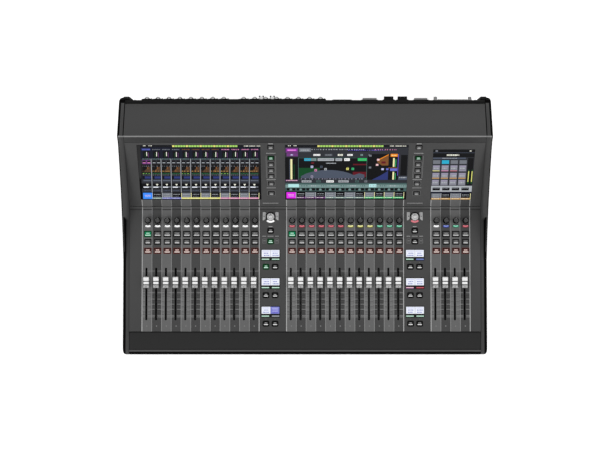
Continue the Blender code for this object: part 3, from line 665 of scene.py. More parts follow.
# near-black: painted shade in and round the fader slots, in vents, port openings and screw drives, and the
# fan guards' own dark wires
slot_dark = surface("slot_dark", (2,), 0.80, specular=0.05)
key_body = surface("key_body", (76,), 0.55)
key_base = surface("key_base", (10,), 0.60, specular=0.15)
key_red_base = surface("key_red_base", (30, 12, 10), 0.60, specular=0.15)
key_red_body = surface("key_red_body", (66, 36, 34), 0.55)
red_ring = surface("red_ring", (112, 54, 46), 0.60)
knob_skirt = surface("knob_skirt", (2,), 0.60, grain=1500.0, specular=0.04)
knob_ring = surface("knob_ring", (16,), 0.50)
knob_rim = surface("knob_rim", (150,), 0.40)
knob_cap = surface("knob_cap", (70,), 0.50)
cap_white = surface("cap_white", (236,), 0.35, bump=0.05, variation=0.03)
cap_shade = surface("cap_shade", (176,), 0.38, bump=0.05, variation=0.05)
cap_grey = surface("cap_grey", (112,), 0.40)
cap_dark = surface("cap_dark", (40,), 0.45)
stem_dark = surface("stem_dark", (18,), 0.40, metallic=0.6)
satin_silver = surface("satin_silver", (214,), 0.34, grain=1500.0, bump=0.05)
plate_silver = surface("plate_silver", (172,), 0.36, grain=1500.0, bump=0.08)
latch_grey = surface("latch_grey", (214,), 0.40)
contact_metal = surface("contact_metal", (190, 178, 150), 0.30, metallic=1.0)
socket_ring = surface("socket_ring", (40,), 0.35, metallic=0.4)
port_silver = surface("port_silver", (150,), 0.38, metallic=0.7)
screw_steel = surface("screw_steel", (120,), 0.35, metallic=0.9)
board_green = surface("board_green", (24, 78, 48), 0.45, grain=400.0, bump=0.4)

# Lit colours, as red, green and blue shades from 0 to 255.
LAMPS = {
    "white": (250, 250, 250),
    "warm_white": (240, 240, 225),
    "grey_light": (170, 174, 180),
    "grey_mid": (112, 116, 124),
    "grey_blue": (74, 82, 98),
    "grey_dark": (44, 46, 52),
    "black": (8, 9, 12),
    "navy": (17, 21, 38),
    "blue_row": (44, 54, 112),
    "blue": (60, 140, 255),
    "blue_soft": (100, 106, 196),
    "blue_pale": (128, 146, 206),
    "violet": (104, 88, 200),
    "teal": (66, 92, 90),
    "teal_light": (118, 144, 142),
    "cyan": (40, 168, 200),
    "cyan_light": (178, 226, 226),
    "green": (30, 196, 96),
    "green_deep": (10, 70, 34),
    "green_key": (12, 128, 84),
    "green_line": (60, 190, 120),
    "mint": (204, 240, 222),
    "lime": (168, 214, 104),
    "yellow": (226, 222, 120),
    "cream": (238, 234, 176),
    "orange": (240, 140, 30),
    "orange_deep": (122, 78, 40),
    "brown": (78, 56, 40),
    "brown_dark": (30, 26, 22),
    "red": (196, 92, 104),
    "red_dark": (96, 18, 30),
    "pink": (214, 130, 176),
    "pink_light": (238, 196, 200),
    "magenta": (224, 46, 232),
    "purple": (110, 56, 122),
    "lavender": (196, 198, 236),
    "paper": (234, 238, 250),
    "ink_blue": (104, 112, 186),
    "page_blue": (120, 124, 200),
    "page_blue_light": (158, 160, 222),
    "lilac": (150, 144, 166),
    "button_grey": (128, 128, 140),
    "amber_line": (200, 152, 80),
}
lamps = {name: lamp("lit_" + name, colour) for name, colour in LAMPS.items()}


# --- Casing -------------------------------------------------------------------------------------
def make_casing():
    depth_low, depth_high = cad_box[0].y, cad_box[1].y
    half = cad_box[1].x
    hood_low, hood_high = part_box("hood")
    ridge_y = max(node_points("hood"), key=lambda p: p.z).y

    def ridge_edge(a, b):
        return along_x(a, b) and min(a.z, b.z) > hood_high.z - TOUCH

    def rear_edge(a, b):
        return along_x(a, b) and a.y > hood_high.y - TOUCH and a.z > hood_high.z - 0.034

    eased_copy(
        "hood",
        "hood_cover",
        casing,
        [(0.0014, 3, ridge_edge), (0.0030, 3, rear_edge)],
    )

    def outside(a, b):
        """Whether an edge lies on a side piece's outer face, above the tray."""
        return min(abs(a.x), abs(b.x)) > half - TOUCH and min(a.z, b.z) > 0.07

    def rear_corner(a, b):
        return outside(a, b) and min(a.y, b.y) > ridge_y + 0.05 and abs(a.x - b.x) < TOUCH

    def upper_edge(a, b):
        return outside(a, b) and depth_low + 0.012 < max(a.y, b.y) < ridge_y + 0.06

    for name in ("left", "right"):
        eased_copy(
            f"{name}_cheek",
            f"{name}_side_piece",
            cheek_grey,
            [(0.0070, 5, rear_corner), (0.0016, 3, upper_edge)],
            rounded_front=True,
        )
    eased_copy(
        "front_rail",
        "front_edge",
        rail_grey,
        [(0.0008, 2, lambda a, b: not along_x(a, b) and a.z > 0.08)],
    )
    eased_copy(
        "bottom_tray",
        "base_tray",
        tray_black,
        [
            (0.0060, 4, lambda a, b: near(abs(a.x), half) and near(abs(b.x), half) and abs(a.z - b.z) > 0.01),
            (0.0030, 3, lambda a, b: min(a.z, b.z) < 0.012 and max(a.z, b.z) < 0.036),
        ],
    )
    eased_copy(
        "rear_panel",
        "rear_face",
        rear_black,
        [(0.0012, 2, lambda a, b: along_x(a, b) and min(a.z, b.z) > hood_low.z - 0.01)],
    )
    for side in ("left", "right"):
        eased_copy(
            f"{side}_rear_bumper",
            f"{side}_bumper",
            rubber,
            [(0.0025, 3, lambda a, b: min(a.y, b.y) > depth_high - 0.06)],
        )
        eased_copy(
            f"{side}_foot_runner",
            f"{side}_runner",
            rubber,
            [(0.0020, 3, lambda a, b: a.z < 0.001 and b.z < 0.001)],
        )


def make_armrest():
    """The padded rest along the front: a crowned top whose edges roll down to its base."""
    low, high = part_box("armrest")
    normal = Vector((0, -math.sin(math.radians(3)), math.cos(math.radians(3))))
    points = node_points("armrest")
    reach = max(normal.dot(p) for p in points)
    origin = Vector((0, low.y, (reach - low.y * normal.y) / normal.z))
    plane = plane_matrix(origin, normal)
    length = (high.y - low.y) / plane.col[1].y
    width = high.x - low.x
    thickness = 0.0098
    edge = 0.0030
    crown = 0.0009
    sections = 16
    shapes = Shapes("armrest_pad", plane)
    rolled = [(edge * 0.2, -thickness), (0.0, -edge)]
    for i in range(1, 6):
        angle = math.radians(90 * i / 5)
        rolled.append((edge * (1 - math.cos(angle)) * 0.8, -edge + (edge - crown) * math.sin(angle)))
    profile = list(rolled)
    for i in range(1, sections):
        t = i / sections
        profile.append((edge * 0.8 + t * (length - edge * 1.6), -crown + crown * math.sin(math.pi * t)))
    profile += [(length - y, z) for y, z in reversed(rolled)]
    end_roll = 0.0008
    rings = []
    for x in (-width / 2, -width / 2 + end_roll, width / 2 - end_roll, width / 2):
        inset = end_roll if abs(x) > width / 2 - 1e-6 else 0.0
        rings.append(
            [
                Vector((x, min(max(y, inset), length - inset), z - inset * (1 + z / thickness)))
                for y, z in profile
            ]
        )
    shapes.loft(rings, armrest_cover)
    pad = shapes.build("console", "soft_black", ("armrest",))


def make_panels():
    """Paints the solids that keep their own shape: both control panels, the units inside and the sockets."""
    # painted shading: the fader panel is painted darker at its front and lighter at its rear, the display
    # panel lighter low and darker high
    lower = strip_paint("fader_panel_paint", "y", (-0.235, 0.035), (60, 72), (95, 102), (61, 68))
    shades = ((76, 64), (100, 100), (70, 70))
    upper = strip_paint("display_panel_paint", "z", (0.14, 0.24), *shades, strip_top_height())
    for node, paint in (
        ("fader_panel", lower),
        ("display_panel", upper),
        ("fader_frame", screw_steel),
        ("main_board", board_green),
        ("power_supply", screw_steel),
        ("mic_input_sockets", rear_black),
        ("output_sockets", rear_black),
        ("power_inlets", rear_black),
    ):
        assign(node, paint)


def display_foot():
    """How far up the display panel the big displays' lower edge is."""
    return min(y - length / 2 for _, y, _, length in top_faces("left_display", display_plane))


def strip_top_height():
    """World height of the displays' lower edge, up to which the channel strips run."""
    return (display_plane @ Vector((0, display_foot(), 0))).z


def assign(node, material):
    mesh = frame["nodes"][node].data
    mesh.materials.clear()
    mesh.materials.append(material)


def make_panel_lines():
    """Thin light lines between the channel strips, on both panels, and a painted highlight and painted shade
    along the crease.
    """
    lines = Shapes("fader_panel_lines", fader_plane)
    upper = Shapes("display_panel_lines", display_plane)
    foot = 0.0015
    top = display_foot() - 0.0004
    lower_end = panel_low + 0.0004
    for start, count in zip(bank_starts, BANK_CHANNELS):
        for i in range(count + 1):
            x = start + i * CHANNEL_PITCH
            at_edge = i in (0, count)
            width = 0.0016 if at_edge else 0.0010
            paint = print_edge if at_edge else print_line
            lines.mark(x, (lower_end - foot) / 2, width, -lower_end - foot, paint)
            upper.mark(x, (foot + top) / 2, width, top - foot, paint)
    for start in column_starts:
        upper.mark(start + COLUMN_CENTRE, 0.0105, 0.034, 0.0011, print_light)
    # painted highlight and painted shade: a light line next to the crease and a dark band just in front of it
    for y, thickness, paint in ((-0.0024, 0.0014, crease_highlight), (-0.0066, 0.0022, crease_shade)):
        lines.slab(0, y, 0.7630, thickness, 0, PRINT / 2, paint)
    lines.build("console", "grey_panel")
    upper.build("console", "grey_panel")


# --- Faders -------------------------------------------------------------------------------------
def fader_cap_mesh():
    """A cap with a raised shoulder at each end, a finger dip and dark lines. Its origin is on its slide."""
    half, base = 0.0119, 0.0031
    stations = [
        (-half, 0.0100, cap_shade),
        (-half + 0.0008, 0.0120, cap_shade),
        (-half + 0.0022, 0.0134, cap_shade),
        (-0.0072, 0.0134, cap_shade),
        (-0.0062, 0.0126, cap_dark),
        (-0.0042, 0.0112, cap_white),
        (-0.0020, 0.0106, cap_white),
        (0.0004, 0.0106, cap_white),
        (0.0010, 0.0108, cap_dark),
        (0.0030, 0.0113, cap_white),
        (0.0046, 0.0128, cap_white),
        (0.0058, 0.0135, cap_white),
        (half - 0.0022, 0.0136, cap_white),
        (half - 0.0008, 0.0124, cap_white),
        (half, 0.0104, None),
    ]
    shapes = Shapes("fader_cap")
    rings = []
    for y, top, _ in stations:
        at_end = abs(abs(y) - half) < 1e-6
        wide = 0.0057 if at_end else 0.0060
        narrow = wide - 0.0006
        rings.append(
            [
                Vector((-wide, y, base)),
                Vector((-wide, y, top - 0.0022)),
                Vector((-narrow - 0.0001, y, top - 0.0006)),
                Vector((-narrow + 0.0008, y, top)),
                Vector((narrow - 0.0008, y, top)),
                Vector((narrow + 0.0001, y, top - 0.0006)),
                Vector((wide, y, top - 0.0022)),
                Vector((wide, y, base)),
            ]
        )
    bands = [paint for _, _, paint in stations[:-1]]
    shapes.loft(rings, cap_white, bands=bands)
    shapes.slab(0, 0, 0.0012, 0.0080, -0.0198, 0.0040, stem_dark)
    shapes.slab(0, -0.0098, 0.0030, 0.0016, 0.0130, 0.0136, cap_grey, 0.0005)
    mesh = shapes.mesh()
    mesh.shade_smooth()
    mesh.set_sharp_from_angle(angle=math.radians(28))
    return mesh


def make_faders():
    mesh = fader_cap_mesh()
    for name in fader_names:
        front, rear = plane_box(name, fader_plane)
        low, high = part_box(name)
        obj = add_object(name.replace("fader", "fader_cap"), mesh)
        place = Vector(((low.x + high.x) / 2, (front.y + rear.y) / 2, 0))
        obj.matrix_world = fader_plane @ Matrix.Translation(place)
        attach(obj, name)
        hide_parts(name)


# Each tick's share of the scale, from its rear end, and whether it is a long one.
TICK_STEPS = 36
LONG_TICKS = (0, 17, 22, 26, 30, 35, 36)
TICKS = tuple((i / TICK_STEPS, i in LONG_TICKS) for i in (0, *range(5, 37, 2), 22, 26, 30, 36))


def make_fader_scales():
    """Tick marks on both sides of every slot, painted shade in and round each slot, and a small mark under
    each channel.
    """
    scales = Shapes("fader_scales", fader_plane)
    slot_shading = Shapes("fader_slot_shading", fader_plane)
    first, last = SLOT_START + 0.0066, SLOT_START + SLOT_LENGTH - 0.0066
    tick_gap = 0.0030  # from a slot's middle to its ticks
    for index, edge in enumerate(strip_edges):
        slot = edge + STRIP_TO_FADER
        bank = max(i for i, channel in enumerate(bank_first) if index >= channel)
        light = (index - bank_first[bank]) % 2 == 0
        for share, major in TICKS:
            row = first + (last - first) * share
            tick_width = 0.0010 if major else 0.0008
            paint = tick_light if major or light else tick_dark
            for side in (-1, 1):
                room = STRIP_TO_FADER if side < 0 else CHANNEL_PITCH - STRIP_TO_FADER
                length = min(room - tick_gap - 0.0006, 0.0084 if major else 0.0058)
                scales.mark(slot + side * (tick_gap + length / 2), -row, length, tick_width, paint)
        # painted shade: a dark band lining each slot and edging it on the panel
        slot_shading.frame(
            slot,
            -(SLOT_START + SLOT_LENGTH / 2),
            (0.0041, SLOT_LENGTH + 0.0008),
            (0.0022, SLOT_LENGTH - 0.0012),
            -0.0024,
            0.00025,
            slot_dark,
            0.0014,
        )
        scales.mark(edge + 0.0106, -0.2600, 0.0022, 0.0026, print_dim, 0.0005)
    scales.build("console", "grey_panel")
    slot_shading.build("console", "grey_panel")


# --- Knobs --------------------------------------------------------------------------------------
def make_channel_knobs():
    """Fluted channel knobs with a light cap and a pointer, on their shafts and board."""
    knobs = Shapes("channel_knobs", fader_plane)
    top = height_of("encoder_board", fader_plane)
    places = top_faces("encoder_board", fader_plane)
    for x, y, _, _ in places:
        profile = [
            (0.0030, 0.0011),
            (0.0067, 0.0011),
            (0.0068, 0.0020),
            (0.0066, 0.0050),
            (0.0062, top - 0.0016),
            (0.0057, top - 0.0006),
            (0.0045, top - 0.0006),
            (0.0040, top - 0.0012),
            (0.0037, top - 0.0012),
            (0.0034, top - 0.0001),
            (0.0029, top),
        ]
        ripple = [0, 0, 0, 0.0004, 0.0004, 0.0001, 0, 0, 0, 0, 0]
        bands = [None] * 6 + [knob_rim, knob_ring, knob_cap, knob_cap]
        knobs.turned(x, y, profile, knob_skirt, steps=36, ripple=ripple, bands=bands, cap=knob_cap)
        knobs.slab(x, y + 0.0051, 0.0007, 0.0012, top - 0.0010, top - 0.0004, print_light)
        knobs.turned(x, y, [(0.0029, -0.0036), (0.0029, 0.0012)], knob_skirt, steps=16)
    xs = [x for x, _, _, _ in places]
    row = places[0][1]
    for low, high in spans_between(xs):
        knobs.slab((low + high) / 2, row, high - low + 0.0136, 0.0136, -0.0051, -0.0035, board_green)
    knobs.build("console", "knob_black", ("encoder_board",), angle=40)


def spans_between(xs):
    """Splits a row of positions at its wide gaps, as (first, last) of each run."""
    xs = sorted(xs)
    breaks = [i for i in range(1, len(xs)) if xs[i] - xs[i - 1] > 1.5 * CHANNEL_PITCH]
    edges = [0, *breaks, len(xs)]
    return [(xs[a], xs[b - 1]) for a, b in zip(edges, edges[1:])]


# The arc's colour under each channel knob, from the left.
LED_COLOURS = (
    ["white"] * 12
    + ["red"] * 6
    + ["yellow"] * 3
    + ["mint_lamp"] * 3
    + ["white", "blue_soft", "mint_lamp", "red"]
)


def make_lamp_arcs():
    """The arc of light under each channel knob, in a dark window."""
    arcs = Shapes("channel_lamp_arcs", fader_plane)
    places = top_faces("encoder_board", fader_plane)
    for (x, y, _, _), colour in zip(places, LED_COLOURS):
        bright, deep = arc_lamps[colour]
        arcs.arc(x, y, LED_RADIUS, 0.0058, -122, -58, 0, PRINT, dark_print_and_gap_shade)
        arcs.arc(x, y, LED_RADIUS + 0.0006, 0.0044, -118, -62, 0.00005, 0.0004, deep)
        arcs.arc(x, y, LED_RADIUS - 0.0002, 0.0026, -116, -64, 0.00010, 0.0006, bright)
    arcs.build("console", "grey_panel")


arc_lamps = {
    "white": (lamp("arc_white", (255, 255, 255), 1.1), lamp("arc_white_rim", (186, 186, 186))),
    "red": (lamp("arc_red", (214, 122, 132)), lamp("arc_red_rim", (142, 54, 66))),
    "yellow": (lamp("arc_yellow", (238, 236, 170)), lamp("arc_yellow_rim", (140, 140, 52))),
    "mint_lamp": (lamp("arc_mint", (140, 214, 186)), lamp("arc_mint_rim", (28, 122, 84))),
    "blue_soft": (lamp("arc_blue", (136, 150, 214)), lamp("arc_blue_rim", (46, 58, 142))),
}


def make_select_knobs():
    """The two larger silver knobs, each on a winged plate with its own arc of light."""
    plates = Shapes("select_knob_plates", fader_plane)
    for side, colour in (("left", "white"), ("right", "red")):
        low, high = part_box(f"{side}_select_knob")
        foot, crown = plane_box(f"{side}_select_knob", fader_plane)
        x = (low.x + high.x) / 2
        y = (foot.y + crown.y) / 2
        top = crown.z
        wing_half, waist, tall = 0.0172, 0.0100, 0.0104
        for sign in (-1, 1):
            outline = [
                (0.0112, -0.0040),
                (0.0140, -0.0070),
                (wing_half, -0.0078),
                (wing_half, tall - 0.0004),
                (0.0120, tall),
                (0.0096, waist - 0.0012),
                (0.0110, 0.0030),
            ]
            points_2d = [(x + sign * px, y + py) for px, py in outline]
            if sign < 0:
                points_2d.reverse()
            plates.prism(points_2d, 0, 0.0008, plate_silver)
            plates.turned(x + sign * 0.0140, y + 0.0012, [(0.0010, 0.0007), (0.0010, 0.0009)], knob_ring, 12)
        plates.turned(x, y, [(0.0106, 0), (0.0106, 0.0005), (0.0102, 0.0008)], dark_print_and_gap_shade, 36)
        plates.arc(x, y, 0.0110, 0.0036, -134, -46, 0.0002, 0.0011, arc_lamps[colour][0], 14)
        knob = Shapes(f"{side}_select_knob_cap", fader_plane)
        knob.turned(
            x,
            y,
            [
                (0.0030, -0.0118),
                (0.0030, 0.0011),
                (0.0088, 0.0011),
                (0.0090, 0.0018),
                (0.0088, 0.0046),
                (0.0078, 0.0052),
                (0.0072, 0.0062),
                (0.0070, top - 0.0012),
                (0.0064, top - 0.0003),
                (0.0052, top - 0.0003),
                (0.0046, top - 0.0010),
            ],
            satin_silver,
            steps=48,
            ripple=[0, 0, 0, 0.0002, 0.0002, 0, 0.0003, 0.0003, 0, 0, 0],
            bands=[None, None, None, None, knob_ring, None, None, None, None, knob_ring],
            cap=satin_silver,
        )
        knob.arc(x, y + 0.0006, 0.0026, 0.0010, 20, 160, top - 0.0012, top - 0.0004, knob_ring, 8)
        knob.slab(x, y + 0.0058, 0.0009, 0.0018, top - 0.0008, top - 0.0001, dark_print_and_gap_shade)
        knob.build(f"{side}_select_knob", "silver", (f"{side}_select_knob",), angle=40)
    plates.build("console", "silver")


# --- Keys ---------------------------------------------------------------------------------------
KEY_TOP = 0.0020
KEY_FOOT = -0.0033
KEY_GAP = 0.0010  # how much wider and longer a key's opening is than the key


def keycap(shapes, x, y, size, cap_share, base, body, lit=None):
    """A key with a dark foot and a smaller cap. Size is the foot's (width, length)."""
    width, length = size
    cap_width, cap_length = width * cap_share[0], length * cap_share[1]
    shapes.loft(
        [
            rounded(width, length, 0.0012, KEY_FOOT, x, y),
            rounded(width, length, 0.0012, 0.0006, x, y),
            rounded(width - 0.0006, length - 0.0006, 0.0010, 0.0010, x, y),
            rounded(cap_width + 0.0004, cap_length + 0.0004, 0.0011, 0.0010, x, y),
            rounded(cap_width, cap_length, 0.0010, KEY_TOP - 0.0005, x, y),
            rounded(cap_width - 0.0008, cap_length - 0.0008, 0.0008, KEY_TOP - 0.0001, x, y),
            rounded(cap_width - 0.0018, cap_length - 0.0018, 0.0006, KEY_TOP - 0.0001, x, y),
        ],
        base,
        bands=[base, base, base, lit or body, lit or body, lit or body],
        cap=lit or body,
    )


def key_surround(shapes, x, y, size, growth, material, radius):
    """A flat frame round a key's opening, which it outgrows in width and length by growth. In the dark paint
    it is painted shade in the gap round the key; in other colours it is print or a lit frame.
    """
    hole = (size[0] + KEY_GAP, size[1] + KEY_GAP)
    shapes.frame(x, y, (hole[0] + growth[0], hole[1] + growth[1]), hole, 0, PRINT, material, radius)


def key_marks(shapes, x, y, label, bar, label_size, bar_size, drop):
    """A small label above a key's middle and a light bar below it. Drop is how far from it each one is."""
    low = KEY_TOP - 0.0003
    width, length = label_size
    for shift, share in ((-0.34, 0.30), (0.0, 0.26), (0.34, 0.30)):
        shapes.slab(x + shift * width, y + drop[0], width * share, length, low, KEY_TOP, label, 0.0003)
    shapes.slab(x, y - drop[1], *bar_size, low, KEY_TOP + 0.00004, bar, 0.0004)


def make_bank_keys():
    """The three rows of keys above the faders: select, cue and the red-framed switches."""
    rings = Shapes("bank_key_surrounds", fader_plane)
    bar_grey = surface("bar_grey", (216,), 0.45)
    label_grey = surface("label_grey", (154,), 0.50)
    bar_pink = surface("bar_pink", (246, 224, 216), 0.45)
    label_pink = surface("label_pink", (240, 206, 198), 0.45)
    for bank, name in enumerate(("left_bank_keys", "centre_bank_keys", "right_bank_keys")):
        keys = Shapes(name + "_caps", fader_plane)
        places = top_faces(name, fader_plane)
        per_row = BANK_CHANNELS[bank]
        for i, (x, y, width, length) in enumerate(places):
            row = i // per_row
            size = (width, length)
            if row == 0:
                selected = i == 0 and bank < 2
                # unlit keys get painted shade round their opening
                ring = lamps["green_deep"] if selected else dark_print_and_gap_shade
                lit = lamps["green_key"] if selected else None
                bar = lamps["mint"] if selected else bar_grey
                label = lamps["mint"] if selected else label_grey
                key_surround(rings, x, y, size, (0.0016, 0.0024), ring, 0.0014)
                keycap(keys, x, y, size, (0.90, 0.88), key_base, key_body, lit)
                key_marks(keys, x, y, label, bar, (0.0070, 0.0017), (0.0116, 0.0019), (0.0017, 0.0026))
            elif row == 1:
                # painted shade round the key's opening
                key_surround(rings, x, y, size, (0.0002, 0.0012), dark_print_and_gap_shade, 0.0014)
                keycap(keys, x, y, size, (0.80, 0.78), key_base, key_body)
                marks = ((0.0066, 0.0014), (0.0094, 0.0018), (0.0014, 0.0022))
                key_marks(keys, x, y, label_grey, bar_grey, *marks)
            else:
                key_surround(rings, x, y, size, (0.0016, 0.0016), red_ring, 0.0014)
                keycap(keys, x, y, size, (0.90, 0.86), key_red_base, key_red_body)
                marks = ((0.0070, 0.0024), (0.0116, 0.0021), (0.0016, 0.0027))
                key_marks(keys, x, y, label_pink, bar_pink, *marks)
        add_mat(keys, places, key_base)
        keys.build(name, "key_grey", (name,))
    rings.build("console", "grey_panel")


def add_mat(shapes, places, material):
    """The silicone mat that joins a group's keys under the panel."""
    border = 0.0018
    left = min(x - w / 2 for x, _, w, _ in places) - border
    right = max(x + w / 2 for x, _, w, _ in places) + border
    low = min(y - length / 2 for _, y, _, length in places) - border
    high = max(y + length / 2 for _, y, _, length in places) + border
    middle = ((left + right) / 2, (low + high) / 2)
    shapes.slab(*middle, right - left, high - low, -0.0048, -0.0034, material, 0.002)


def make_column_keys():
    """The keys in the two columns, with the green lamp of the chosen pages in the left one."""
    prints = Shapes("column_prints", fader_plane)
    bar_white = surface("column_bar", (220,), 0.45)
    label_white = surface("column_label", (168,), 0.45)
    for column, name in enumerate(("left_column_keys", "right_column_keys")):
        keys = Shapes(name + "_caps", fader_plane)
        places = top_faces(name, fader_plane)
        for i, (x, y, width, length) in enumerate(places):
            lit = column == 0 and i in (1, 2)
            label = lamps["mint"] if lit else label_white
            bar = lamps["mint"] if lit else bar_white
            size = (width, length)
            glow = lamps["green_deep"] if lit else None
            # painted shade round the opening, unless the key is lit
            key_surround(prints, x, y, size, (0.0012, 0.0014), glow or dark_print_and_gap_shade, 0.0030)
            keycap(keys, x, y, size, (0.86, 0.84), key_base, key_base, glow)
            key_marks(keys, x, y, label, bar, (0.0052, 0.0018), (0.0088, 0.0020), (0.0014, 0.0020))
            if i >= 2:
                prints.mark(x, y + 0.0096, 0.0016, 0.0008, print_dim)
        centre = places[0][0]
        first_row, second_row = places[0][1], places[1][1]
        prints.mark(centre, first_row + 0.0092, 0.0078, 0.0012, print_light)
        for shift, width in ((-0.0140, 0.0080), (0.0, 0.0130), (0.0138, 0.0080)):
            prints.mark(centre + shift, first_row - 0.0118, width, 0.0009, print_light)
        for x in (centre - 0.0134, centre + 0.0134):
            outer, inner = (0.0084, 0.0100), (0.0070, 0.0086)
            prints.frame(x, second_row + 0.0010, outer, inner, 0, PRINT, print_dim, 0.0010)
            prints.mark(x, second_row + 0.0014, 0.0050, 0.0018, print_dim)
        add_mat(keys, places, key_base)
        keys.build(name, "key_grey", (name,))
    prints.build("console", "grey_panel")


def make_screen_keys():
    """The keys beside the displays, and the light bracket lines that group them."""
    prints = Shapes("screen_key_prints", display_plane)
    bar = surface("screen_key_bar", (190,), 0.45)
    label = surface("screen_key_label", (160,), 0.45)
    for name in ("left_screen_keys", "right_screen_keys"):
        keys = Shapes(name + "_caps", display_plane)
        places = top_faces(name, display_plane)
        for i, (x, y, width, length) in enumerate(places):
            size = (width, length)
            lit = i == 1
            glow = lamps["green_deep"] if lit else None
            mark = lamps["mint"] if lit else label
            line = lamps["mint"] if lit else bar
            # painted shade round the key's opening
            key_surround(prints, x, y, size, (0.0010, 0.0014), dark_print_and_gap_shade, 0.0016)
            keycap(keys, x, y, size, (0.86, 0.82), key_base, key_body, glow)
            key_marks(keys, x, y, mark, line, (0.0056, 0.0018), (0.0072, 0.0014), (0.0014, 0.0018))
            if i > 1:
                outline = (width + 0.0018, length + 0.0022)
                key_surround(prints, x, y, outline, (0.0012, 0.0012), print_dim, 0.0010)
        x = places[0][0]
        ys = [p[1] for p in places]
        prints.mark(x, ys[0] + 0.0104, 0.0100, 0.0014, print_light)
        for row in ((ys[0] + ys[1]) / 2 - 0.0020, (ys[4] + ys[5]) / 2 + 0.0006, (ys[5] + ys[6]) / 2 + 0.0016):
            prints.mark(x, row, 0.0200, 0.0010, print_light)
        for side in (-1, 1):
            prints.mark(x + side * 0.0102, (ys[1] + ys[4]) / 2, 0.0008, ys[1] - ys[4] + 0.012, print_dim)
        add_mat(keys, places, key_base)
        keys.build(name, "key_grey", (name,))
    prints.build("console", "grey_panel")


# --- Small name displays in the key columns -----------------------------------------------------
# The colours of the two lamp bars under each name display, per key column and display.
BAR_COLOURS = (
    (("mint", "mint"), ("mint", "mint"), ("mint", "grey_light")),
    (("mint", "blue_pale"), ("pink_light", "red"), ("mint", "mint")),
)
BAR_RIMS = {
    "mint": "green_deep",
    "blue_pale": "blue_row",
    "pink_light": "purple",
    "red": "red_dark",
    "grey_light": "grey_dark",
}


def make_name_displays():
    """Three small displays in each key column, each with two name fields and two lamp bars below them."""
    marks = random.Random(5)
    for column, start in enumerate(column_starts):
        shapes = Shapes(("left", "right")[column] + "_name_displays", fader_plane)
        x = start + COLUMN_CENTRE
        for i in range(3):
            y = -(BANK_DISPLAY_ROW + i * BANK_DISPLAY_PITCH)
            shapes.slab(x, y - 0.0032, 0.0412, 0.0246, 0, 0.0007, bezel, 0.0010, 0.0003)
            for half in (0, 1):
                cx = x + (half - 0.5) * 0.0194
                chosen = column == 0 and i == 2 and half == 1
                shapes.slab(cx, y, 0.0192, 0.0152, 0.0004, 0.0009, lamps["page_blue" if chosen else "paper"])
                if chosen:
                    shapes.slab(cx, y + 0.0010, 0.0120, 0.0092, 0.0004, 0.00094, lamps["page_blue_light"])
                ink = lamps["violet" if chosen else "ink_blue"]
                soft = lamps["page_blue_light" if chosen else "lavender"]
                shapes.slab(cx, y + 0.0050, 0.0150, 0.0014, 0.0004, 0.00096, soft)
                for row, tall in ((0.0004, 0.0018), (-0.0044, 0.0020)):
                    reach = -0.0070 + 0.0030 * marks.random()
                    while reach < 0.0050:
                        width = 0.0012 + 0.0018 * marks.random()
                        shapes.slab(cx + reach + width / 2, y + row, width, tall, 0.0004, 0.00098, ink)
                        reach += width + 0.0009
                bar = BAR_COLOURS[column][i][half]
                bar_x = x + (half - 0.5) * 0.0222
                shapes.slab(bar_x, y - 0.0130, 0.0172, 0.0036, 0.0004, 0.0009, lamps[BAR_RIMS[bar]], 0.0006)
                shapes.slab(bar_x, y - 0.0126, 0.0162, 0.0019, 0.0004, 0.0010, lamps[bar], 0.0006)
            shapes.slab(x, y, 0.0007, 0.0152, 0.0004, 0.0010, lamps["lilac"])
        shapes.build("console", "glass_black")


# --- Displays -----------------------------------------------------------------------------------
TALL_TILE = 0.012  # taller tiles follow the picture's drift as slanted outlines


class Screen:
    """Draws a display's picture as thin lit tiles. x runs from its left edge and d down from its top edge."""

    def __init__(self, node, name):
        self.node = node
        x, y, width, length = top_faces(node, display_plane)[0]
        self.left, self.top = x - width / 2, y + length / 2
        self.width, self.height = width, length
        self.face = height_of(node, display_plane)
        self.shapes = Shapes(name, display_plane)
        self.drift = (0.0, 0.0, 0.0)

    def moved(self, x, d):
        """x after the picture's drift to the right: at its top, at its bottom, and lost across its width."""
        top, bottom, lost = self.drift
        shift = top + (bottom - top) * d / self.height - lost * x / self.width
        return min(max(x + shift, 0.0), self.width)

    def tile(self, x0, x1, d0, d1, colour, layer=1):
        x0, x1 = max(x0, 0.0), min(x1, self.width)
        if d1 - d0 > TALL_TILE:
            self.outline([(x0, d0), (x1, d0), (x1, d1), (x0, d1)], colour, layer)
            return
        middle = (d0 + d1) / 2
        x0, x1 = self.moved(x0, middle), self.moved(x1, middle)
        self.shapes.slab(
            self.left + (x0 + x1) / 2,
            self.top - (d0 + d1) / 2,
            x1 - x0,
            d1 - d0,
            self.face,
            self.face + layer * LAYER,
            lamps[colour],
        )

    def outline(self, points, colour, layer=2):
        """A flat outline of (x, d) points, clockwise as seen on the display."""
        placed = [(self.left + self.moved(x, d), self.top - d) for x, d in points]
        self.shapes.prism(list(reversed(placed)), self.face, self.face + layer * LAYER, lamps[colour])

    def words(self, x0, x1, d, tall, colour, layer, chooser, gap=0.0008):
        """A row of small marks that reads as lettering from afar."""
        x = x0
        while x < x1 - 0.0008:
            width = min(0.0008 + 0.0020 * chooser.random(), x1 - x)
            self.tile(x, x + width, d - tall / 2, d + tall / 2, colour, layer)
            x += width + gap * (0.6 + chooser.random())

    def build(self):
        self.shapes.build("console", "glass_black")


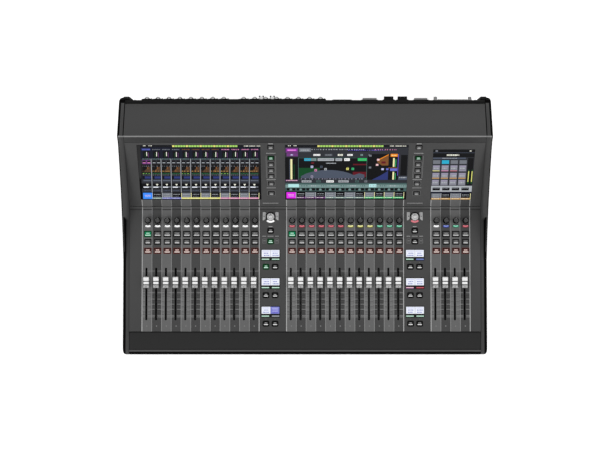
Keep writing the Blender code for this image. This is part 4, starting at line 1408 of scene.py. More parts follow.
def display_glass(node, name):
    """The glass front with a polished edge, and the frame that holds it behind the panel."""
    x, y, width, length = top_faces(node, display_plane)[0]
    face = height_of(node, display_plane)
    shapes = Shapes(name, display_plane)
    shapes.slab(x, y, width, length, face - 0.0024, face, glass, 0.0012, 0.0004)
    low, high = plane_box(node, display_plane)
    middle = ((low.x + high.x) / 2, (low.y + high.y) / 2)
    size = (high.x - low.x, high.y - low.y)
    shapes.slab(*middle, *size, low.z, face - 0.0032, bezel, 0.0020, 0.0005)
    shapes.slab(x, y, width - 0.004, length - 0.004, face - 0.0034, face - 0.0022, bezel)
    shapes.build("console", "glass_black", (node,))


def status_strip(screen, chooser):
    """The row along the top of a big display: two small marks, meter segments and the corner marks."""
    screen.tile(0, screen.width, 0, 0.0066, "grey_dark")
    screen.words(0.006, 0.012, 0.0022, 0.0020, "warm_white", 2, chooser)
    screen.words(0.018, 0.026, 0.0022, 0.0020, "warm_white", 2, chooser)
    segments = 24
    first, last = 0.262 * screen.width, 0.800 * screen.width
    pitch = (last - first) / segments
    for i in range(segments):
        x = first + i * pitch
        screen.tile(x, x + pitch * 0.84, 0.0008, 0.0058, "lime" if i % 5 else "yellow", 2)
    for share, reach in ((0.850, 0.010), (0.895, 0.014), (0.955, 0.008)):
        x = share * screen.width
        screen.words(x, x + reach, 0.0030, 0.0024, "warm_white", 2, chooser)


LEFT_NAME_TINTS = ("blue_soft", "teal_light", "blue_soft", "blue_soft") + ("yellow",) * 4 + ("pink",) * 4
CENTRE_NAME_TINTS = ("magenta",) + ("purple",) * 3 + ("teal_light",) * 4 + ("green_line",) * 4


def names_row(screen, columns, top, tints, chosen, chooser, right=None):
    """The channel names along a display's foot: a field, lettering and a coloured line for each channel."""
    foot = top + 0.0186
    for i, ((x0, x1), tint) in enumerate(zip(columns, tints)):
        if i == 0 and chosen:
            screen.tile(x0, x1 - 0.0006, top, foot, chosen, 2)
            screen.words(x0 + 0.004, x1 - 0.005, top + 0.0074, 0.0020, "pink_light", 3, chooser)
            screen.words(x0 + 0.005, x1 - 0.005, top + 0.0114, 0.0018, "lavender", 3, chooser)
            continue
        field, ink = ("black", "grey_mid") if i % 2 else ("grey_mid", "grey_light")
        screen.tile(x0, x1 - 0.0008, top, top + 0.0140, field, 2)
        screen.words(x0 + 0.003, x1 - 0.004, top + 0.0046, 0.0018, "grey_light", 3, chooser)
        screen.words(x0 + 0.003, x1 - 0.004, top + 0.0104, 0.0016, ink, 3, chooser)
        screen.tile(x0, x1 - 0.0008, top + 0.0142, foot, tint, 2)
        screen.words(x0 + 0.002, x1 - 0.004, top + 0.0162, 0.0014, "warm_white", 3, chooser)
    for i, (x0, _) in enumerate(columns):
        if i:
            colour = "cream" if tints[i] in ("yellow", "pink", "green_line") else "grey_light"
            screen.tile(x0 - 0.0010, x0 + 0.0002, top, foot, colour, 3)
    if right is not None:
        x1 = columns[-1][1]
        screen.tile(x1 - 0.0010, x1 + 0.0002, top, foot, right, 3)


def strip_columns(screen, bank):
    """Each channel's (left, right) on a display, in line with the strips below it."""
    start = bank_starts[bank] - screen.left
    return [
        (start + i * CHANNEL_PITCH, start + (i + 1) * CHANNEL_PITCH) for i in range(BANK_CHANNELS[bank])
    ]


def make_left_screen():
    """The overview page: one narrow column of readouts for each channel of the left bank."""
    chooser = random.Random(11)
    screen = Screen("left_display", "left_screen_picture")
    screen.drift = (0.0076, 0.0029, 0.0031)
    screen.tile(0, screen.width, 0, screen.height, "black")
    status_strip(screen, chooser)
    columns = strip_columns(screen, 0)
    left = columns[0][0] - 0.0034
    right = columns[-1][1] - 0.0004
    for d0, d1, colour in (
        (0.0068, 0.0420, "navy"),
        (0.0425, 0.0560, "grey_dark"),
        (0.0565, 0.0905, "brown_dark"),
        (0.0912, 0.1010, "navy"),
        (0.1016, 0.1140, "grey_dark"),
        (0.1300, 0.1410, "grey_dark"),
    ):
        screen.tile(left, right, d0, d1, colour, 2)
    label_tints = ["blue_soft"] + ["grey_mid"] * 3 + ["orange_deep"] * 4 + ["pink"] * 4
    for i, ((x0, x1), tint) in enumerate(zip(columns, label_tints)):
        a, b = x0 + 0.0014, x1 - 0.0022
        centre = (a + b) / 2
        if i == 0:
            screen.tile(a - 0.001, b, 0.0096, 0.0160, "blue_row", 3)
        screen.words(a + 0.001, b, 0.0130, 0.0024, tint, 4, chooser)
        screen.tile(a + 0.002, b - 0.001, 0.0180, 0.0372, "black", 3)
        needle_foot = 0.0350 - 0.003 * chooser.random()
        screen.tile(centre + 0.0004, centre + 0.0019, 0.0204, needle_foot, "warm_white", 4)
        screen.tile(centre - 0.0030, centre - 0.0018, 0.0240, 0.0360, "green_deep", 4)
        screen.tile(centre + 0.0044, centre + 0.0054, 0.0220, 0.0360, "purple", 4)
        screen.words(a, b, 0.0410, 0.0016, "teal_light", 3, chooser)
        row = "purple" if i == 0 else "grey_dark"
        screen.tile(a, b, 0.0440, 0.0560, row, 3)
        screen.tile(a + 0.0004, centre - 0.0014, 0.0456, 0.0506, "black", 4)
        screen.tile(centre + 0.0014, b, 0.0456, 0.0506, "black", 4)
        for x2, x3 in ((a + 0.0010, centre - 0.0020), (centre + 0.0020, b - 0.0006)):
            screen.tile(x2, x3, 0.0510, 0.0530, "pink" if i == 0 else "grey_light", 4)
        equaliser_thumbnail(screen, a, b, i, chooser)
        screen.tile(a, b, 0.0928, 0.0992, "blue_row", 3)
        screen.tile(a, a + 0.004, 0.0928, 0.0992, "black", 4)
        screen.tile(a + 0.0005, b, 0.1030, 0.1074, "grey_blue", 3)
        screen.tile(a + 0.0005, b, 0.1084, 0.1130, "grey_dark", 3)
        screen.words(a + 0.002, b - 0.002, 0.1052, 0.0012, "grey_mid", 4, chooser)
        screen.outline(
            [(centre - 0.0026, 0.1158), (centre + 0.0030, 0.1158), (centre + 0.0002, 0.1214)], "warm_white", 3
        )
        screen.tile(a, b, 0.1232, 0.1264, "grey_mid", 3)
        screen.tile(a + 0.0004, b - 0.0060, 0.1238, 0.1268, "paper", 4)
        screen.tile(a, b, 0.1316, 0.1396, "grey_dark", 3)
        screen.words(a + 0.001, b - 0.001, 0.1356, 0.0026, "grey_blue", 4, chooser)
    for x0, _ in columns[1:]:
        screen.tile(x0 - 0.0014, x0 - 0.0002, 0.0400, 0.1410, "grey_light", 4)
    names_row(screen, columns, 0.1426, LEFT_NAME_TINTS, "blue", chooser, "cream")
    screen.build()


def equaliser_thumbnail(screen, a, b, index, chooser):
    """A small response curve: an orange-brown slope on dark, over a green and grey band."""
    centre = (a + b) / 2
    screen.tile(a, b, 0.0580, 0.0820, "black", 3)
    rise = 0.0640 + 0.0020 * chooser.random()
    screen.outline(
        [
            (a + 0.0030, 0.0770),
            (centre - 0.0010, 0.0710),
            (centre + 0.0040, rise),
            (b, rise - 0.0020),
            (b, 0.0800),
            (a + 0.0030, 0.0800),
        ],
        "brown",
        4,
    )
    screen.tile(centre + 0.0010, centre + 0.0034, 0.0640, 0.0710, "orange_deep", 5)
    screen.tile(centre - 0.0020, centre + 0.0002, 0.0730, 0.0790, "orange_deep" if index % 2 else "brown", 5)
    screen.words(a, b, 0.0620, 0.0020, "grey_mid", 5, chooser, 0.0034)
    screen.words(a, b, 0.0770, 0.0018, "amber_line" if index % 3 else "orange_deep", 5, chooser, 0.0030)
    screen.tile(a, b, 0.0822, 0.0860, "green_deep", 3)
    screen.words(a, b, 0.0842, 0.0012, "lime" if index % 4 == 0 else "teal", 4, chooser, 0.0030)
    screen.tile(a, b, 0.0866, 0.0904, "grey_dark", 3)
    screen.words(a, b, 0.0884, 0.0014, "grey_mid", 4, chooser, 0.0020)


def make_centre_screen():
    """The channel page: an equaliser graph, two dynamics graphs, rows of buttons and the channel names."""
    chooser = random.Random(23)
    screen = Screen("centre_display", "centre_screen_picture")
    screen.tile(0, screen.width, 0, screen.height, "black")
    status_strip(screen, chooser)
    channel_title(screen, chooser)
    equaliser_page(screen, chooser)
    dynamics_page(screen, chooser)
    button_rows(screen, chooser)
    columns = strip_columns(screen, 1)
    balance_row(screen, columns)
    names_row(screen, columns, 0.1408, CENTRE_NAME_TINTS, "magenta", chooser, "cream")
    screen.build()


def channel_title(screen, chooser):
    """The chosen channel's name, its input settings and a row of page names."""
    screen.tile(0, screen.width, 0.0068, 0.0360, "grey_dark", 2)
    screen.tile(0.0010, 0.0275, 0.0084, 0.0225, "purple", 3)
    screen.tile(0.0040, 0.0240, 0.0128, 0.0170, "magenta", 4)
    screen.words(0.0060, 0.0220, 0.0148, 0.0018, "pink_light", 5, chooser)
    screen.tile(0.0030, 0.0270, 0.0238, 0.0330, "purple", 3)
    screen.outline([(0.0105, 0.0300), (0.0140, 0.0262), (0.0175, 0.0300)], "lavender", 4)
    screen.tile(0.0300, 0.0545, 0.0094, 0.0200, "grey_mid", 3)
    screen.words(0.0330, 0.0520, 0.0148, 0.0030, "grey_light", 4, chooser)
    screen.tile(0.0300, 0.0500, 0.0245, 0.0320, "grey_dark", 3)
    screen.words(0.0560, 0.1700, 0.0130, 0.0024, "grey_light", 4, chooser, 0.0024)
    screen.tile(0.1320, 0.1760, 0.0105, 0.0190, "navy", 3)
    screen.words(0.1340, 0.2100, 0.0150, 0.0022, "violet", 4, chooser, 0.0020)
    screen.words(0.1900, 0.2400, 0.0135, 0.0030, "pink", 4, chooser, 0.0030)
    for x0, x1, colour in (
        (0.0600, 0.0745, "white"),
        (0.0845, 0.1001, "grey_mid"),
        (0.1118, 0.1235, "warm_white"),
        (0.1321, 0.1438, "white"),
        (0.1600, 0.1650, "teal_light"),
        (0.1770, 0.1800, "grey_mid"),
    ):
        screen.words(x0, x1, 0.0290, 0.0052, colour, 4, chooser, 0.0005)


def button_rows(screen, chooser):
    """The rows of buttons and read-outs under the graphs."""
    screen.tile(0, screen.width, 0.1030, 0.1125, "grey_dark", 2)
    screen.tile(0.0004, 0.0270, 0.1030, 0.1068, "purple", 3)
    screen.words(0.0020, 0.0260, 0.1050, 0.0022, "pink_light", 4, chooser)
    for x0, x1, colour in (
        (0.0350, 0.0560, "grey_light"),
        (0.0660, 0.0760, "teal"),
        (0.0880, 0.1040, "white"),
        (0.1140, 0.1360, "grey_light"),
        (0.1500, 0.1580, "teal"),
        (0.1700, 0.1760, "grey_mid"),
    ):
        screen.tile(x0, x1, 0.1048, 0.1108, colour, 3)
        screen.words(x0 + 0.002, x1 - 0.002, 0.1078, 0.0020, "grey_dark", 4, chooser)
    screen.tile(0, screen.width, 0.1128, 0.1176, "teal", 2)
    screen.tile(0, screen.width, 0.1176, 0.1268, "teal_light", 2)
    screen.tile(0.0060, 0.0290, 0.1160, 0.1255, "cyan_light", 3)
    screen.tile(0.1800, 0.1960, 0.1160, 0.1255, "cyan_light", 3)
    for i in range(11):
        x = 0.034 + i * 0.0212
        screen.words(x, x + 0.014, 0.1212, 0.0030, "grey_light" if i % 2 else "teal", 4, chooser, 0.0022)


def balance_row(screen, columns):
    """Two dark fields and a small pointer for each channel."""
    screen.tile(0, screen.width, 0.1270, 0.1378, "teal", 2)
    for x0, x1 in columns:
        middle = (x0 + x1) / 2 - 0.0010
        screen.tile(x0 + 0.0006, middle - 0.0026, 0.1282, 0.1356, "black", 3)
        screen.tile(middle + 0.0026, x1 - 0.0016, 0.1282, 0.1356, "black", 3)
        screen.outline(
            [(middle - 0.0034, 0.1340), (middle, 0.1292), (middle + 0.0034, 0.1340), (middle, 0.1350)],
            "teal_light",
            4,
        )


def equaliser_page(screen, chooser):
    """The equaliser graph, with its level meter at the left and its page buttons along the top."""
    left, right, top, foot = 0.0275, 0.1745, 0.0372, 0.1030
    screen.tile(0, left - 0.0010, top, foot, "black", 2)
    screen.tile(0.0110, 0.0150, top + 0.0040, foot - 0.0010, "cream", 3)
    screen.tile(0.0086, 0.0098, top + 0.0040, foot - 0.0010, "grey_blue", 3)
    screen.tile(0.0180, 0.0196, top + 0.0200, foot, "green_deep", 3)
    screen.tile(left, right, top, foot, "teal", 2)
    screen.tile(left + 0.0012, right - 0.0012, top + 0.0012, foot - 0.0004, "black", 3)
    screen.tile(left + 0.0012, left + 0.0460, top + 0.0300, foot - 0.0060, "green_deep", 4)
    screen.tile(right - 0.0300, right - 0.0012, top + 0.0180, foot - 0.0080, "red_dark", 4)
    screen.tile(right - 0.0300, right - 0.0012, top + 0.0220, foot - 0.0240, "black", 5)
    screen.tile(left + 0.0280, left + 0.0340, top + 0.0130, top + 0.0180, "red_dark", 4)
    hump = [(left + 0.0060, foot - 0.0050)]
    crest, reach = 0.0390, 0.0640
    steps = 12
    for i in range(steps + 1):
        t = i / steps
        x = left + 0.0060 + t * (right - left - 0.0110)
        lift = 0.62 - 2.2 * (t - 0.9)
        if t < 0.9:
            lift = math.sin(math.pi * min(1.0, t * 1.12 + 0.02)) ** 0.55
        hump.append((x, foot - 0.0060 - lift * 0.0235))
    hump.append((right - 0.0050, foot - 0.0050))
    screen.outline(hump, "grey_blue", 6)
    screen.tile(left + 0.0012, right - 0.0012, foot - 0.0052, foot - 0.0010, "grey_dark", 6)
    screen.words(left + 0.006, right - 0.004, foot - 0.0030, 0.0024, "lilac", 7, chooser, 0.0044)
    for x0, x1, colour in (
        (0.0404, 0.0545, "cyan"),
        (0.0548, 0.0664, "teal_light"),
        (0.0690, 0.1040, "grey_light"),
        (0.1070, 0.1210, "grey_light"),
        (0.1256, 0.1373, "white"),
        (right - 0.0200, right - 0.0012, "green"),
    ):
        screen.tile(x0, x1, top + 0.0016, top + 0.0092, colour, 5)
        screen.words(x0 + 0.002, x1 - 0.002, top + 0.0054, 0.0022, "grey_mid", 6, chooser)
    screen.tile(0.0860, 0.1100, top + 0.0125, top + 0.0200, "black", 4)
    screen.words(0.0870, 0.1090, top + 0.0162, 0.0026, "grey_light", 5, chooser)
    for x, d, colour in (
        (0.0570, crest + 0.0250, "lavender"),
        (0.0650, reach + 0.0100, "pink"),
        (0.0770, crest + 0.0250, "grey_blue"),
        (0.0860, reach + 0.0070, "grey_light"),
        (0.1330, crest + 0.0310, "yellow"),
        (0.1443, crest + 0.0310, "green_line"),
        (0.0570, reach + 0.0290, "lilac"),
    ):
        screen.tile(x - 0.0026, x + 0.0026, d - 0.0032, d + 0.0032, colour, 7)
        screen.tile(x - 0.0010, x + 0.0010, d - 0.0012, d + 0.0012, "black", 8)


def dynamics_page(screen, chooser):
    """Two square graphs: an orange slope over a blue one, each with its button and meter."""
    left, right = 0.1760, 0.2400
    screen.tile(left, right, 0.0240, 0.1030, "black", 3)
    screen.tile(left, screen.width, 0.0240, 0.0262, "grey_dark", 4)
    slope = [(0.2200, 0.0268), (0.2200, 0.0600), (0.2060, 0.0600), (0.1960, 0.0500), (0.1960, 0.0440)]
    screen.outline(slope, "orange_deep", 5)
    screen.outline([(0.2200, 0.0268), (0.2200, 0.0290), (0.1970, 0.0458), (0.1960, 0.0440)], "orange", 6)
    screen.tile(0.2240, 0.2390, 0.0258, 0.0340, "orange", 6)
    screen.words(0.2260, 0.2370, 0.0300, 0.0020, "cream", 7, chooser)
    screen.tile(0.2050, 0.2140, 0.0480, 0.0540, "red_dark", 7)
    slope = [(0.2200, 0.0760), (0.2200, 0.1028), (0.1860, 0.1028), (0.2040, 0.0900)]
    screen.outline(slope, "blue_row", 5)
    screen.tile(0.2240, 0.2390, 0.0690, 0.0760, "blue_soft", 6)
    screen.tile(0.2200, 0.2390, 0.0660, 0.0680, "orange_deep", 6)
    for x, d, colour in (
        (0.1980, 0.0430, "pink_light"),
        (0.1960, 0.0580, "pink_light"),
        (0.1810, 0.0310, "grey_mid"),
        (0.1810, 0.0660, "grey_mid"),
        (0.2080, 0.0710, "lavender"),
        (0.2180, 0.0710, "blue_soft"),
    ):
        screen.tile(x - 0.0026, x + 0.0026, d - 0.0026, d + 0.0026, colour, 7)
    for d0, d1 in ((0.0380, 0.0640), (0.0790, 0.1020)):
        screen.tile(0.2296, 0.2330, d0, d1, "cream", 6)
        screen.tile(0.2350, 0.2362, d0 + 0.004, d1, "green_line", 6)
    screen.tile(right, right + 0.0012, 0.0262, 0.0900, "violet", 5)
    screen.tile(0.2420, screen.width, 0.0262, 0.0930, "grey_dark", 4)
    screen.tile(0.2462, 0.2600, 0.0290, 0.0900, "black", 5)
    screen.tile(0.2420, screen.width, 0.0930, 0.1030, "grey_blue", 4)
    screen.words(0.2440, 0.2600, 0.0960, 0.0030, "grey_light", 5, chooser)


def make_right_screen():
    """The small display's page: a black title bar, a grid of buttons, two meters and the channel names."""
    chooser = random.Random(41)
    screen = Screen("right_display", "right_screen_picture")
    width = screen.width
    screen.tile(0, width, 0, screen.height, "grey_dark")
    screen.tile(0, width, 0, 0.0230, "black", 2)
    screen.tile(0, width, 0.0092, 0.0102, "grey_blue", 3)
    screen.tile(0.0044, 0.0094, 0.0020, 0.0068, "grey_mid", 3)
    screen.words(0.0770, 0.0820, 0.0044, 0.0034, "warm_white", 3, chooser)
    screen.words(0.0290, 0.0560, 0.0166, 0.0044, "warm_white", 3, chooser)
    screen.tile(0, 0.0700, 0.0240, 0.0276, "grey_blue", 2)
    screen.words(0.0200, 0.0520, 0.0258, 0.0016, "grey_light", 3, chooser)
    rows = ((0.0318, 0.0425), (0.0468, 0.0644), (0.0692, 0.0869), (0.0900, 0.1068))
    for r, (d0, d1) in enumerate(rows):
        for c in range(4):
            x0 = 0.0006 + c * 0.0188
            colour = "cyan" if (r, c) == (0, 1) else ("grey_mid" if r == 0 else "button_grey")
            screen.tile(x0, x0 + 0.0154, d0, d1, colour, 2)
            if r:
                screen.tile(x0 + 0.0012, x0 + 0.0142, d0 + 0.0010, d0 + 0.0052, "lilac", 3)
                screen.words(x0 + 0.0020, x0 + 0.0130, (d0 + d1) / 2, 0.0044, "grey_light", 4, chooser)
            if r == 2:
                screen.tile(x0, x0 + 0.0154, d1 - 0.0030, d1 - 0.0006, "amber_line", 3)
            if r == 1:
                colour = ("yellow", "pink", "red", "lilac")[c]
                screen.tile(x0, x0 + 0.0148, d1 - 0.0022, d1 - 0.0004, colour, 3)
    screen.tile(0.0746, width - 0.0010, 0.0250, 0.1060, "black", 2)
    for x0 in (0.0768, 0.0842):
        screen.tile(x0, x0 + 0.0030, 0.0600, 0.1020, "green_deep", 3)
        screen.tile(x0 + 0.0004, x0 + 0.0022, 0.0644, 0.0960, "yellow", 4)
    screen.tile(0, width, 0.1085, 0.1262, "grey_light", 2)
    for c in range(4):
        x0 = 0.0030 + c * 0.0208
        screen.tile(x0, x0 + 0.0160, 0.1135, 0.1222, "black", 3)
        screen.words(x0 + 0.0010, x0 + 0.0140, 0.1160, 0.0022, "grey_mid", 4, chooser)
    screen.tile(0, width, 0.1266, 0.1312, "navy", 2)
    columns = strip_columns(screen, 2)
    names_row(screen, columns, 0.1314, ("amber_line",) * 4, None, chooser, "cream")
    screen.build()


# --- Rear ---------------------------------------------------------------------------------------
def socket_xs(node):
    """World X of the sockets in a row, from the left end of their block."""
    low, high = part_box(node)
    count = round((high.x - low.x) / SOCKET_PITCH)
    count = SOCKETS_PER_GROUP * (2 if count > SOCKETS_PER_GROUP else 1)
    return [
        low.x + SOCKET_PITCH * (i + 0.5) + (i // SOCKETS_PER_GROUP) * SOCKET_GROUP_GAP for i in range(count)
    ]


SOCKET_FLANGE = (0.0222, 0.0262)
CONTACT_CIRCLE = 0.0038  # from a socket's centre to its contacts


def contact_places(x, y, angles):
    turns = [math.radians(angle) for angle in angles]
    return [(x + CONTACT_CIRCLE * math.cos(turn), y + CONTACT_CIRCLE * math.sin(turn)) for turn in turns]


def flange_screws(shapes, x, y, face):
    """The two screws in opposite corners of a socket's flange."""
    for sx, sy in ((-1, 1), (1, -1)):
        screw_head(shapes, x + sx * 0.0092, y + sy * 0.0112, face + 0.0012, 0.0013)


def make_mic_sockets():
    """Latching three-pin sockets: a flange, a ring, an insert with three holes and a light latch."""
    shapes = Shapes("mic_socket_faces", rear_plane)
    low, high = plane_box("mic_input_sockets", rear_plane)
    y, face = (low.y + high.y) / 2, high.z
    for world_x in socket_xs("mic_input_sockets"):
        x = -world_x
        hub = y - 0.0008
        shapes.slab(x, y, *SOCKET_FLANGE, face, face + 0.0008, rear_black, 0.0022, 0.0003)
        collar = [
            (0.0098, face + 0.0006),
            (0.0098, face + 0.0013),
            (0.0092, face + 0.0017),
            (0.0082, face + 0.0016),
            (0.0080, face + 0.0006),
        ]
        shapes.ring(x, hub, collar, socket_ring)
        insert = [(0.0074, face + 0.0004), (0.0074, face + 0.0011), (0.0070, face + 0.0013)]
        shapes.turned(x, hub, insert, key_base)
        for px, py in contact_places(x, hub, (90, 210, 330)):
            low_z, high_z = face + 0.0010, face + 0.0015
            hole = [(0.0015, low_z), (0.0015, high_z), (0.0010, high_z), (0.0010, low_z)]
            shapes.ring(px, py, hole, contact_metal, 12)
        latch_y = y + 0.0104
        shapes.loft(
            [
                rounded(0.0104, 0.0048, 0.0012, face + 0.0006, x, latch_y),
                rounded(0.0098, 0.0046, 0.0012, face + 0.0022, x, latch_y),
                rounded(0.0060, 0.0040, 0.0010, face + 0.0042, x, latch_y),
                rounded(0.0030, 0.0030, 0.0008, face + 0.0050, x, latch_y),
            ],
            key_base,
        )
        shapes.slab(x, latch_y + 0.0021, 0.0058, 0.0012, face + 0.0008, face + 0.0036, latch_grey, 0.0004)
        flange_screws(shapes, x, y, face)
    shapes.build("console", "socket_black")


def screw_head(shapes, x, y, z, radius):
    """A pan head with a cross-shaped drive."""
    profile = [(radius, z - 0.0002), (radius, z + 0.3 * radius), (0.6 * radius, z + 0.6 * radius)]
    shapes.turned(x, y, profile, screw_steel, steps=14)
    # painted shade: the cross drive is a dark cross, for the shade in its recess
    for size in ((1.0 * radius, 0.26 * radius), (0.26 * radius, 1.0 * radius)):
        shapes.slab(x, y, *size, z + 0.5 * radius, z + 0.62 * radius, slot_dark)


def make_output_sockets():
    """Round cups with three pins, round the open wells of the output sockets."""
    shapes = Shapes("output_socket_faces", rear_plane)
    low, high = plane_box("output_sockets", rear_plane)
    y, face = (low.y + high.y) / 2, high.z
    for world_x in socket_xs("output_sockets"):
        x = -world_x
        shapes.frame(x, y, SOCKET_FLANGE, (0.0176, 0.0176), face, face + 0.0012, rear_black, 0.0022)
        cup = [
            (0.0092, face + 0.0004),
            (0.0092, face + 0.0022),
            (0.0084, face + 0.0026),
            (0.0080, face + 0.0022),
            (0.0078, face + 0.0004),
        ]
        shapes.ring(x, y, cup, port_silver)
        for px, py in contact_places(x, y, (270, 30, 150)):
            pin = [(0.0011, face - 0.0135), (0.0011, face - 0.0024), (0.0006, face - 0.0016)]
            shapes.turned(px, py, pin, contact_metal, steps=12)
        flange_screws(shapes, x, y, face)
    shapes.build("console", "socket_black")


def make_power_inlets():
    """Surrounds, blades and screws of the two mains inlets."""
    shapes = Shapes("power_inlet_faces", rear_plane)
    low, high = plane_box("power_inlets", rear_plane)
    y, face = (low.y + high.y) / 2, high.z
    centre = (low.x + high.x) / 2
    for side in (-1, 1):
        x = centre + side * 0.0280
        shapes.frame(x, y, (0.0310, 0.0250), (0.0272, 0.0202), face, face + 0.0016, key_base, 0.0030)
        for shift, lift in ((-0.0070, -0.0010), (0.0, 0.0030), (0.0070, -0.0010)):
            blade = (face - 0.0138, face - 0.0030)
            shapes.slab(x + shift, y + lift, 0.0020, 0.0060, *blade, contact_metal, 0.0003)
    for side in (-1, 1):
        screw_head(shapes, centre + side * (high.x - centre - 0.003), y, face, 0.0016)
    shapes.build("console", "socket_black")


def clock_posts(shapes, row, face):
    """Two round clock sockets, each with a pair of lugs."""
    second_group = socket_xs("mic_input_sockets")[SOCKETS_PER_GROUP]
    y = row + 0.0118
    for socket in (1, 2):
        x = -(second_group + SOCKET_PITCH * (socket + 0.61))
        post = [(0.0044, face), (0.0044, 0.0066), (0.0036, 0.0070), (0.0036, 0.0078), (0.0032, 0.0080)]
        shapes.turned(x, y, post, latch_grey)
        for shift in (-0.0036, 0.0036):
            lug = [(0.0017, 0.0060), (0.0017, 0.0094), (0.0012, 0.0098)]
            shapes.turned(x - shift, y, lug, rear_black, steps=12)


def data_ports(shapes, y):
    ports = (
        (0.0790, 0.0360, 0.0120, 0.0016, port_silver),
        (0.1375, 0.0300, 0.0110, 0.0050, port_silver),
        (0.1780, 0.0200, 0.0160, 0.0080, rear_black),
        (0.2072, 0.0200, 0.0160, 0.0080, rear_black),
        (0.2465, 0.0280, 0.0110, 0.0050, port_silver),
    )
    for world_x, width, tall, proud, paint in ports:
        x = -world_x
        inner = (width - 0.0030, tall - 0.0030)
        shapes.slab(x, y, width + 0.006, tall + 0.006, 0, 0.0012, rear_black, 0.0016, 0.0004)
        shapes.frame(x, y, (width, tall), inner, 0, proud, paint, 0.0014)
        # painted shade inside the port's opening
        shapes.slab(x, y, width - 0.0026, tall - 0.0026, 0, proud * 0.4, slot_dark)


def card_slot(shapes, row):
    """The option card's plate, its cover and its two thumbscrews."""
    centre, width = -0.3140, 0.0820
    y = row + 0.0040
    shapes.slab(centre, y, width, 0.0240, 0, 0.0016, port_silver, 0.0016, 0.0005)
    shapes.slab(centre, y, width - 0.020, 0.0180, 0.0010, 0.0022, rear_black, 0.0010, 0.0003)
    for side in (-1, 1):
        profile = [(0.0038, 0.0012), (0.0038, 0.0070), (0.0034, 0.0078), (0.0020, 0.0080)]
        x = centre - side * (width / 2 - 0.0045)
        shapes.turned(x, row + 0.0085, profile, port_silver, steps=24, ripple=[0.0003, 0.0003, 0, 0])


def rear_screws(shapes):
    rear_low, _ = plane_box("rear_panel", rear_plane)
    half = -rear_low.x
    for x in (half - 0.020, 0.180, 0.0, -0.180, 0.020 - half):
        for y in (-0.008, -0.108, rear_low.y + 0.012):
            among_ports = y > -0.040 and abs(x) < half - 0.05
            if not among_ports:
                screw_head(shapes, x, y, 0.0, 0.0022)


def rear_vents(shapes):
    """A row of upright slots, drawn as dark marks of painted shade for their openings, and two fan guards."""
    for i in range(22):
        x = -(0.020 + i * 0.0085)
        # painted shade: each vent slot is a dark mark in place of an opening
        shapes.slab(x, -0.155, 0.0034, 0.040, -0.0001, 0.00025, slot_dark, 0.0016)
    y, low, high, half_wire = -0.150, 0.0010, 0.0016, 0.0011
    for x in (0.2300, 0.1300):
        shapes.turned(x, y, [(0.0300, 0), (0.0300, low), (0.0290, 0.0014)], rear_black, steps=48)
        for reach in (0.0060, 0.0120, 0.0180, 0.0240):
            outer, inner = reach + half_wire, reach - half_wire
            shapes.ring(x, y, [(outer, low), (outer, high), (inner, high), (inner, low)], slot_dark, 40)


def make_rear_ports():
    """Clock, data and network ports, the option card slot, vents and screws on the rear panel."""
    shapes = Shapes("rear_ports", rear_plane)
    low, high = plane_box("mic_input_sockets", rear_plane)
    row = (low.y + high.y) / 2
    clock_posts(shapes, row, high.z)
    data_ports(shapes, row + 0.0080)
    card_slot(shapes, row)
    rear_screws(shapes)
    rear_vents(shapes)
    shapes.build("console", "socket_black")


def make_corner_guards():
    """Rubber guards down the rear corners, rounded at their outer side."""
    rear_low, _ = plane_box("rear_panel", rear_plane)
    half = cad_box[1].x
    inner, proud, foot, top = half - 0.0106, 0.0058, rear_low.y + 0.002, -0.0045
    radius = 0.0078
    sunk = 0.0002  # where a guard meets the rear face, and how far it stays inside the console's width
    guards = Shapes("rear_corner_guards", rear_plane)
    for side in (-1, 1):
        outline = [(inner, sunk), (inner, proud)]
        for i in range(7):
            angle = math.radians(90 - 75 * i / 6)
            across = half - sunk - radius + radius * math.cos(angle)
            outline.append((across, proud - radius + radius * math.sin(angle)))
        outline.append((half - sunk, sunk))
        rings = []
        for y, shrink in ((foot, 0.6), (foot + 0.002, 1.0), (top - 0.002, 1.0), (top, 0.6)):
            heights = [max(z, sunk) if z < 0.001 else z * shrink for _, z in outline]
            rings.append([Vector((side * px, y, z)) for (px, _), z in zip(outline, heights)])
        guards.loft(rings, rubber)
    guards.build("console", "rubber")


def make_casing_details():
    """Screws and vents under the tray; the vents are dark marks, painted shade standing for their openings.
    """
    tray_low, tray_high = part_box("bottom_tray")
    under = Shapes("tray_fixings", Matrix.Translation((0, 0, tray_low.z)) @ Matrix.Diagonal((1, -1, -1, 1)))
    for x in (-0.34, -0.115, 0.115, 0.34):
        for y in (tray_low.y + 0.030, (tray_low.y + tray_high.y) / 2, tray_high.y - 0.030):
            screw_head(under, x, -y, 0.0, 0.0030)
    for i in range(16):
        x = -0.12 + i * 0.016
        # painted shade: each vent is a dark mark in place of an opening
        under.slab(x, 0.11 - tray_high.y, 0.0050, 0.070, -0.0001, 0.0004, slot_dark, 0.0024)
    under.build("console", "black_metal")


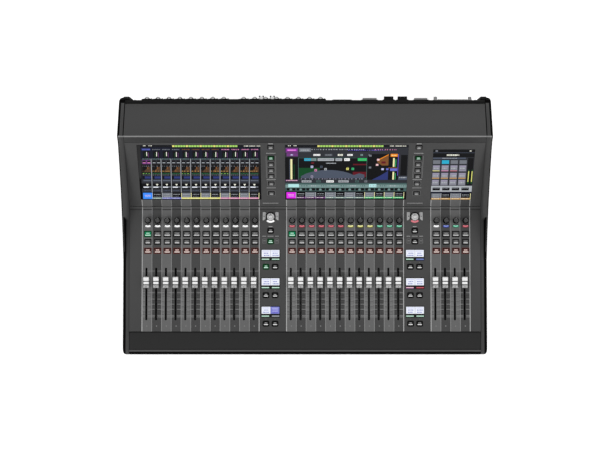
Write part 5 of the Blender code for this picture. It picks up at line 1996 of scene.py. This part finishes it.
# --- Room ---------------------------------------------------------------------------------------
def make_room():
    """A pale floor, soft lights and the camera above the desk."""
    graph = Graph("floor_paint")
    cloud = graph.noise(3.0)
    graph.put("Base Color", graph.mix(cloud, (0.84, 0.84, 0.84), (0.88, 0.88, 0.88)))
    graph.put("Emission Color", graph.mix(cloud, (0.97, 0.97, 0.97), (1.0, 1.0, 1.0)))
    graph.put("Emission Strength", 0.55)
    graph.put("Roughness", 0.9)
    graph.put("Specular IOR Level", 0.1)
    bm = bmesh.new()
    bmesh.ops.create_grid(bm, x_segments=2, y_segments=2, size=6.0)
    mesh = bpy.data.meshes.new("floor")
    bm.to_mesh(mesh)
    bm.free()
    mesh.materials.append(graph.material)
    floor = add_object("floor", mesh)

    world = bpy.data.worlds.new("soft_room")
    world.use_nodes = True
    background = world.node_tree.nodes["Background"]
    background.inputs["Color"].default_value = (1, 1, 1, 1)
    background.inputs["Strength"].default_value = 0.62
    bpy.context.scene.world = world
    for name, place, size, power in (
        ("key_light", (-1.8, -2.6, 3.2), 2.6, 55),
        ("fill_light", (2.4, -1.8, 2.6), 2.6, 30),
        ("rear_light", (0.4, 3.0, 2.6), 3.0, 45),
    ):
        data = bpy.data.lights.new(name, "AREA")
        data.shape = "DISK"
        data.size = size
        data.energy = power
        light = add_object(name, data)
        light.location = place
        aim = Vector((0, 0, 0.15)) - Vector(place)
        light.rotation_euler = aim.to_track_quat("-Z", "Y").to_euler()

    data = bpy.data.cameras.new("camera")
    data.lens = 119.1
    data.sensor_width = 36.0  # this and the lens are in millimetres
    camera = add_object("camera", data)
    camera.location = (0, -0.7660, 4.4656)
    camera.rotation_euler = (math.radians(10), 0, 0)
    bpy.context.scene.camera = camera
    bpy.context.scene.view_settings.view_transform = "Standard"
    bpy.context.scene.view_settings.look = "None"


make_room()
make_casing()
make_armrest()
make_panels()
make_panel_lines()
make_faders()
make_fader_scales()
make_channel_knobs()
make_lamp_arcs()
make_select_knobs()
make_bank_keys()
make_column_keys()
make_screen_keys()
make_name_displays()
for display in ("left_display", "centre_display", "right_display"):
    display_glass(display, display + "_glass")
make_left_screen()
make_centre_screen()
make_right_screen()
make_mic_sockets()
make_output_sockets()
make_power_inlets()
make_rear_ports()
make_corner_guards()
make_casing_details()
